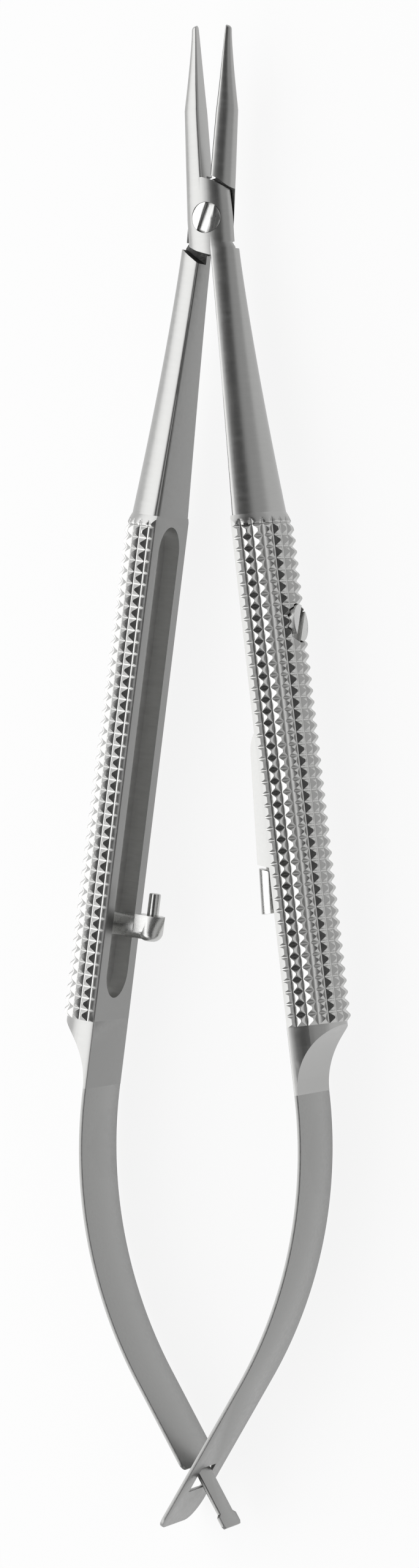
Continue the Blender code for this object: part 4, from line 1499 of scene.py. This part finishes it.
@dataclass(frozen=True)
class Catch:
    """The catch: plate, block and screw on the front arm, post and pin on the rear arm.

    Attributes:
        screw_slot: The width and depth of the screw's slot.
        post_flat: How far out of the slot the post's flat starts, how high it stands and its width.
    """

    arm: Arm = field(default_factory=Arm)
    screw: CatchScrew = field(default_factory=CatchScrew)
    screw_slot: tuple = (1.20 * MM, 0.65 * MM)
    screw_slot_turn: float = 54.0
    foot_at: float = 44.5 * MM
    foot_width: float = 4.60 * MM
    foot_sink: float = 0.30 * MM
    blade_at: float = 61.0 * MM
    blade_rise: float = 3.5 * MM
    blade_stand: float = 2.05 * MM
    blade_end: float = 77.4 * MM
    blade_end_stand: float = 2.75 * MM
    blade_end_slant: float = 0.33
    blade_front: float = 1.80 * MM
    blade_back: float = 1.90 * MM
    carrier: float = 0.95 * MM
    block_length: float = 5.90 * MM
    block_width: float = 1.70 * MM
    block_front: float = 1.60 * MM
    block_round: float = 1.50 * MM
    block_crown: float = 100.0
    block_rise: float = 0.06 * MM
    block_lead: float = 0.38 * MM
    post_at: float = 83.7 * MM
    post_length: float = 3.10 * MM
    post_radius: float = 1.50 * MM
    post_reach: float = 3.65 * MM
    post_foot_round: float = 1.15 * MM
    leg_radius: float = 1.42 * MM
    post_flat: tuple = (3.58 * MM, 1.40 * MM, 1.74 * MM)
    post_flat_turn: float = 4.0
    pin_radius: float = 0.70 * MM
    pin_stand: float = 2.70 * MM
    pin_seat: float = 1.20 * MM
    edge: float = 0.08 * MM
    pin_edge: float = 0.16 * MM
    bore_gap: float = 0.04 * MM
    block_gap: float = 0.36 * MM
    crown_steps: int = 16
    block_steps: int = 12
    foot_steps: int = 6
    foot_reach: float = 0.01 * MM
    screw_segments: int = 72
    post_segments: int = 48
    pin_segments: int = 40

    @property
    def foot_back(self) -> float:
        """The depth in the slot of the plate's foot."""
        return self.arm.slot_depth - self.arm.seat_gap

    @property
    def carrier_end(self) -> float:
        """Where the block and its carrier end."""
        return self.blade_end + self.block_length

    def stand_at(self, at: float) -> float:
        """How far the blade stands out of the flat at a distance."""
        start = self.blade_at + self.blade_rise
        return share_of(self.blade_stand, self.blade_end_stand, (at - start) / (self.blade_end - start))

    def plate(self) -> bpy.types.Object:
        """The plate: foot in the slot, blade out of it, and the carrier behind the block.

        Returns:
            The plate in the flat's frame.
        """
        root, back = self.blade_at - self.blade_rise, self.foot_back
        half = self.foot_width / 2
        foot = Piece("catch_plate_bright")
        foot.block((self.foot_sink, -root - self.blade_rise, -half), (back, -self.foot_at, half))
        plate = foot.finish()
        crown = [
            (x * self.blade_stand, y * self.blade_rise - self.blade_at - self.blade_rise)
            for x, y in arc((0, 0), 1, 90, 180, self.crown_steps)
        ]
        slant = self.blade_end_slant * (self.blade_end_stand + back)
        outline = [(back, -root)] + crown
        outline += [(-self.blade_end_stand, -self.blade_end), (back, -self.blade_end - slant)]
        combine(plate, Piece("blade").plate(outline, -self.blade_back, self.blade_front).finish(), Cut.JOIN)
        high = self.blade_end - self.blade_rise
        outline = [
            (back, -high),
            (-self.stand_at(high), -high),
            (-self.stand_at(self.carrier_end), -self.carrier_end),
            (back, -self.carrier_end),
        ]
        carrier = Piece("carrier").plate(outline, -self.blade_back, self.carrier - self.blade_back)
        combine(plate, carrier.finish(), Cut.JOIN)
        across = Matrix.Translation((0, -self.screw.at, 0)) @ Matrix.Rotation(math.pi / 2, 4, "Y")
        far = self.arm.far
        hole = Piece("plate_hole").rod(self.screw.shank_radius + self.arm.run_gap, -far, far)
        combine(plate, hole.turn(across).finish(), Cut.REMOVE)
        return soften(plate, self.edge)

    def block(self) -> bpy.types.Object:
        """The block that the pin snaps over.

        Returns:
            The block in the flat's frame.
        """
        base = self.carrier - self.blade_back + self.arm.seat_gap
        turn = self.block_round
        section = [(0, base)]
        section += arc((turn, self.block_front - turn), turn, 180, self.block_crown, self.block_steps)
        section += [(self.block_width, self.block_front + self.block_rise), (self.block_width, base)]
        piece = Piece("catch_block_polished")
        loops = []
        ends = ((self.blade_end + self.block_gap, self.blade_end_slant), (self.carrier_end, 0.0))
        for at, slant in ends:
            edge = -self.stand_at(at) - self.block_lead
            ring = [piece.bm.verts.new((edge + x, -at - slant * x, z)) for x, z in section]
            loops += [piece.bm.edges.new(pair) for pair in zip(ring, ring[1:] + ring[:1])]
            piece.bm.faces.new(ring)
        bmesh.ops.bridge_loops(piece.bm, edges=loops)
        return soften(piece.finish(), self.edge)

    def turned_screw(self) -> bpy.types.Object:
        """The slotted screw, let into the grip's round side.

        Returns:
            The screw, upright on the flat's frame at its place.
        """
        make = self.screw
        base = make.head_top - make.head_height
        head = Piece("catch_screw_ground").rod(make.head_radius, base, make.head_top, self.screw_segments)
        screw = head.finish()
        shank = Piece("shank").rod(make.shank_radius, self.foot_sink + self.arm.run_gap, base + SHANK_LAP)
        combine(screw, shank.finish(), Cut.JOIN)
        width, depth = self.screw_slot
        far = self.arm.far
        slot = Piece("slot").block((-far, -width / 2, make.head_top - depth), (far, width / 2, far))
        slot.turn(Matrix.Rotation(math.radians(self.screw_slot_turn), 4, "Z"))
        return soften(combine(screw, slot.finish(), Cut.REMOVE), self.edge)

    def post(self) -> bpy.types.Object:
        """The post: a leg out of the slot with an upright stub, bored for the pin.

        Returns:
            The post in the flat's frame at its place.
        """
        upright = Matrix.Rotation(-math.pi / 2, 4, "X")
        stub = Piece("catch_post_polished").rod(self.post_radius, -self.post_length, 0, self.post_segments)
        stub.turn(Matrix.Translation((-self.post_reach, 0, 0)) @ upright)
        level = self.foot_reach - self.post_length
        foot = [edge for edge in stub.bm.edges if all(vert.co.y < level for vert in edge.verts)]
        post = stub.round_off(foot, self.post_foot_round, self.foot_steps).finish()
        across = Matrix.Translation((0, -self.post_length / 2, 0)) @ Matrix.Rotation(math.pi / 2, 4, "Y")
        leg = Piece("leg").rod(self.leg_radius, -self.post_reach, self.foot_back, self.post_segments)
        combine(post, leg.turn(across).finish(), Cut.JOIN)
        reach, stand, width = self.post_flat
        lug = Piece("lug").block(
            (-self.post_reach, self.post_foot_round - self.post_length, -stand), (width - reach, 0, stand)
        )
        combine(post, lug.finish(), Cut.JOIN)
        far = self.arm.far
        flat = Piece("flat").block((0, self.post_foot_round / 2 - self.post_length, -far), (width, far, 0))
        lean = Matrix.Rotation(-math.radians(self.post_flat_turn), 4, "Y")
        combine(post, flat.turn(Matrix.Translation((-reach, 0, -stand)) @ lean).finish(), Cut.REMOVE)
        bore = Piece("bore").rod(self.pin_radius + self.bore_gap, -self.pin_seat - self.arm.run_gap, far)
        bore.turn(Matrix.Translation((-self.post_reach, 0, 0)) @ upright)
        combine(post, bore.finish(), Cut.REMOVE)
        return soften(post, self.edge)

    def pin(self) -> bpy.types.Object:
        """The pin that the catch holds, with a rounded end.

        Returns:
            The pin, with its seat's rim at the origin.
        """
        pin = Piece("catch_pin_polished")
        pin.rod(self.pin_radius, -self.pin_seat, self.pin_stand, self.pin_segments)
        return soften(pin.turn(Matrix.Rotation(-math.pi / 2, 4, "X")).finish(), self.pin_edge)

    def build(self) -> None:
        """Builds the catch's five pieces and hangs them on their bodies."""
        layout = self.arm.layout
        front, rear = layout.front() @ layout.flat(), layout.rear() @ layout.flat(self.post_at)
        seat = layout.rear() @ layout.flat(self.post_at, -self.post_reach)
        outward = layout.front() @ layout.flat(self.screw.at) @ Matrix.Rotation(math.pi / 2, 4, "Y")
        pieces = (
            (self.plate(), PLATED, front, "catch_lever", "catch_plate"),
            (self.block(), BRUSHED, front, "catch_lever", "catch_block"),
            (self.turned_screw(), SCREW, outward, "front_arm", "catch_screw"),
            (self.post(), BRUSHED, rear, "rear_arm", "catch_post"),
            (self.pin(), POLISHED, seat, "rear_arm", "catch_pin"),
        )
        for piece, finish, place, body, node in pieces:
            shade(piece, finish)
            piece.data.transform(place)
            settle(piece, body, node)


@dataclass(frozen=True)
class Studio:
    """The pale floor, the soft light and the camera at the photograph's angle.

    Attributes:
        panes: For each part of the window, the angles over the +X horizon that it spans and its level.
        skirt: The angles that the dark skirt spans, its distance and its length.
        card_span: The same for the dark card overhead.
        clip: The nearest and the farthest that the camera sees.
    """

    view_angle: float = 21.766
    roll: float = 0.317
    distance: float = 0.65814
    pixels_per_metre: float = 13656.3
    frame_size: tuple = (684, 2560)
    pivot_row: float = 357.0
    foot_row: float = 1151.5
    axis_column: float = 339.77
    sensor: float = 36.0
    floor_size: float = 3.0
    floor_shade: float = 0.90
    floor_glow: float = 0.88
    sky: float = 0.60
    panes: tuple = ((97.0, 112.0, 0.60), (112.0, 160.0, 1.55), (160.0, 178.0, 1.30))
    window_reach: float = 1.2
    window_length: float = 3.6
    skirt: tuple = (178.6, 180.4, 1.2, 3.6)
    card_span: tuple = (52.0, 96.0, 0.9, 8.0)
    card_shade: float = 0.08
    clip: tuple = (0.01, 20.0)

    def build(self) -> None:
        """Builds the whole studio."""
        self.floor()
        self.world()
        self.lamps()
        self.camera()

    def camera(self) -> None:
        """Sets up the camera as it stood for the photograph."""
        turn, roll = math.radians(self.view_angle), math.radians(self.roll)
        back = Vector((math.sin(turn), 0, math.cos(turn)))
        level = Vector((math.cos(turn), 0, -math.sin(turn)))
        right = level * math.cos(roll) + Vector((0, 1, 0)) * math.sin(roll)
        up = Vector((0, 1, 0)) * math.cos(roll) - level * math.sin(roll)
        foot = Layout().pivot() + Vector((0, (self.pivot_row - self.foot_row) / self.pixels_per_metre, 0))
        data = bpy.data.cameras.new("photo_camera")
        data.sensor_fit = "AUTO"
        data.sensor_width = self.sensor
        width, height = self.frame_size
        data.lens = self.sensor * self.distance * self.pixels_per_metre / height
        data.shift_x = (width / 2 - self.axis_column) / height
        data.shift_y = (self.foot_row - height / 2) / height
        data.clip_start, data.clip_end = self.clip
        camera = bpy.data.objects.new("photo_camera", data)
        place = foot + back * self.distance
        camera.matrix_world = Matrix((right, up, back)).transposed().to_4x4()
        camera.matrix_world.translation = place
        bpy.context.scene.collection.objects.link(camera)
        bpy.context.scene.camera = camera

    def floor(self) -> None:
        """Lays the pale floor, which looks nearly white to the camera and in the steel."""
        size = Matrix.Diagonal((self.floor_size, self.floor_size, 1, 1))
        self.board("floor", size, self.floor_material())

    def board(self, name: str, place: Matrix, material: bpy.types.Material) -> bpy.types.Object:
        """Adds a flat board to the studio.

        Args:
            name: The board's name.
            place: Its place and size, from a square of one metre that faces up.
            material: What it is made of.

        Returns:
            The board.
        """
        bm = bmesh.new()
        bmesh.ops.create_grid(bm, x_segments=1, y_segments=1, size=0.5)
        bmesh.ops.transform(bm, matrix=place, verts=bm.verts)
        mesh = bpy.data.meshes.new(name)
        bm.to_mesh(mesh)
        bm.free()
        board = bpy.data.objects.new(name, mesh)
        board.data.materials.append(material)
        bpy.context.scene.collection.objects.link(board)
        return board

    def floor_material(self) -> bpy.types.Material:
        """Builds a pale matt finish that glows a little toward the camera and in reflections.

        Returns:
            The floor's material.
        """
        material = bpy.data.materials.new("pale_floor")
        material.use_nodes = True
        tree = material.node_tree
        tree.nodes.clear()
        output = tree.nodes.new("ShaderNodeOutputMaterial")
        matt = tree.nodes.new("ShaderNodeBsdfDiffuse")
        matt.inputs["Color"].default_value = (self.floor_shade,) * 3 + (1,)
        glow = tree.nodes.new("ShaderNodeEmission")
        mix = tree.nodes.new("ShaderNodeMixShader")
        path = tree.nodes.new("ShaderNodeLightPath")
        seen = tree.nodes.new("ShaderNodeMath")
        seen.operation = "ADD"
        through = tree.nodes.new("ShaderNodeMath")
        through.operation = "ADD"
        through.use_clamp = True
        part = tree.nodes.new("ShaderNodeMath")
        part.operation = "MULTIPLY"
        part.inputs[1].default_value = self.floor_glow
        tree.links.new(path.outputs["Is Camera Ray"], seen.inputs[0])
        tree.links.new(path.outputs["Is Glossy Ray"], seen.inputs[1])
        tree.links.new(seen.outputs[0], through.inputs[0])
        tree.links.new(path.outputs["Is Transmission Ray"], through.inputs[1])
        tree.links.new(through.outputs[0], part.inputs[0])
        tree.links.new(part.outputs[0], mix.inputs["Fac"])
        tree.links.new(matt.outputs[0], mix.inputs[1])
        tree.links.new(glow.outputs[0], mix.inputs[2])
        tree.links.new(mix.outputs[0], output.inputs["Surface"])
        return material

    def world(self) -> None:
        """Sets a plain grey surround."""
        world = bpy.data.worlds.new("studio")
        bpy.context.scene.world = world
        world.use_nodes = True
        back = world.node_tree.nodes["Background"]
        back.inputs["Color"].default_value = (1, 1, 1, 1)
        back.inputs["Strength"].default_value = self.sky

    def lamps(self) -> None:
        """Hangs the soft window at the left, the dark card overhead and the dark skirt at its foot."""
        for index, (low, high, level) in enumerate(self.panes):
            self.panel(f"left_window_{index}", low, high, self.window_reach, self.window_length, level)
        self.card("dark_card", *self.card_span)
        self.card("dark_skirt", *self.skirt)

    def panel(self, name: str, low: float, high: float, reach: float, length: float, level: float) -> None:
        """A soft rectangular lamp seen from the object between two angles over the +X horizon.

        Args:
            name: The lamp's name.
            low: The lower of the two angles, in degrees.
            high: The higher one.
            reach: How far its edges are from the object.
            length: Its length along Y.
            level: How bright it looks, where 1 is white.
        """
        place, width = self.facing(low, high, reach)
        data = bpy.data.lights.new(name, "AREA")
        data.shape = "RECTANGLE"
        data.size = width
        data.size_y = length
        data.energy = level * math.pi * data.size * data.size_y
        lamp = bpy.data.objects.new(name, data)
        lamp.matrix_world = place
        bpy.context.scene.collection.objects.link(lamp)

    def card(self, name: str, low: float, high: float, reach: float, length: float) -> None:
        """A dark card, which only the steel sees, between two angles over the +X horizon.

        Args:
            name: The card's name.
            low: The lower of the two angles, in degrees.
            high: The higher one.
            reach: How far its edges are from the object.
            length: Its length along Y.
        """
        place, width = self.facing(low, high, reach)
        material = bpy.data.materials.new("dark_cloth")
        material.use_nodes = True
        shader = material.node_tree.nodes["Principled BSDF"]
        shader.inputs["Base Color"].default_value = (self.card_shade,) * 3 + (1,)
        shader.inputs["Roughness"].default_value = 1.0
        card = self.board(name, place @ Matrix.Diagonal((width, length, 1, 1)), material)
        card.visible_camera = False

    def facing(self, low: float, high: float, reach: float) -> tuple[Matrix, float]:
        """Finds the place of a flat thing that faces the object between two angles.

        Args:
            low: The lower of the two angles over the +X horizon, in degrees.
            high: The higher one.
            reach: How far its edges are from the object.

        Returns:
            Its place, with its front toward -Z of its own, and its width.
        """
        turns = (math.radians(low), math.radians(high))
        edges = [Vector((math.cos(turn), 0, math.sin(turn))) * reach for turn in turns]
        middle = (edges[0] + edges[1]) / 2
        side, back = (edges[1] - edges[0]).normalized(), middle.normalized()
        place = Matrix((side, back.cross(side), back)).transposed().to_4x4()
        place.translation = middle
        return place, (edges[1] - edges[0]).length


def main() -> None:
    """Builds the studio and the holder's pieces in order."""
    logging.basicConfig(level=logging.INFO, format="%(name)s: %(message)s")
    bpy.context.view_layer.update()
    bpy.context.scene.view_settings.view_transform = "Standard"
    Studio().build()
    for assembly in (Arms(), JointScrew(), SpringLeaves(), Catch()):
        assembly.build()


if __name__ == "__main__":
    main()
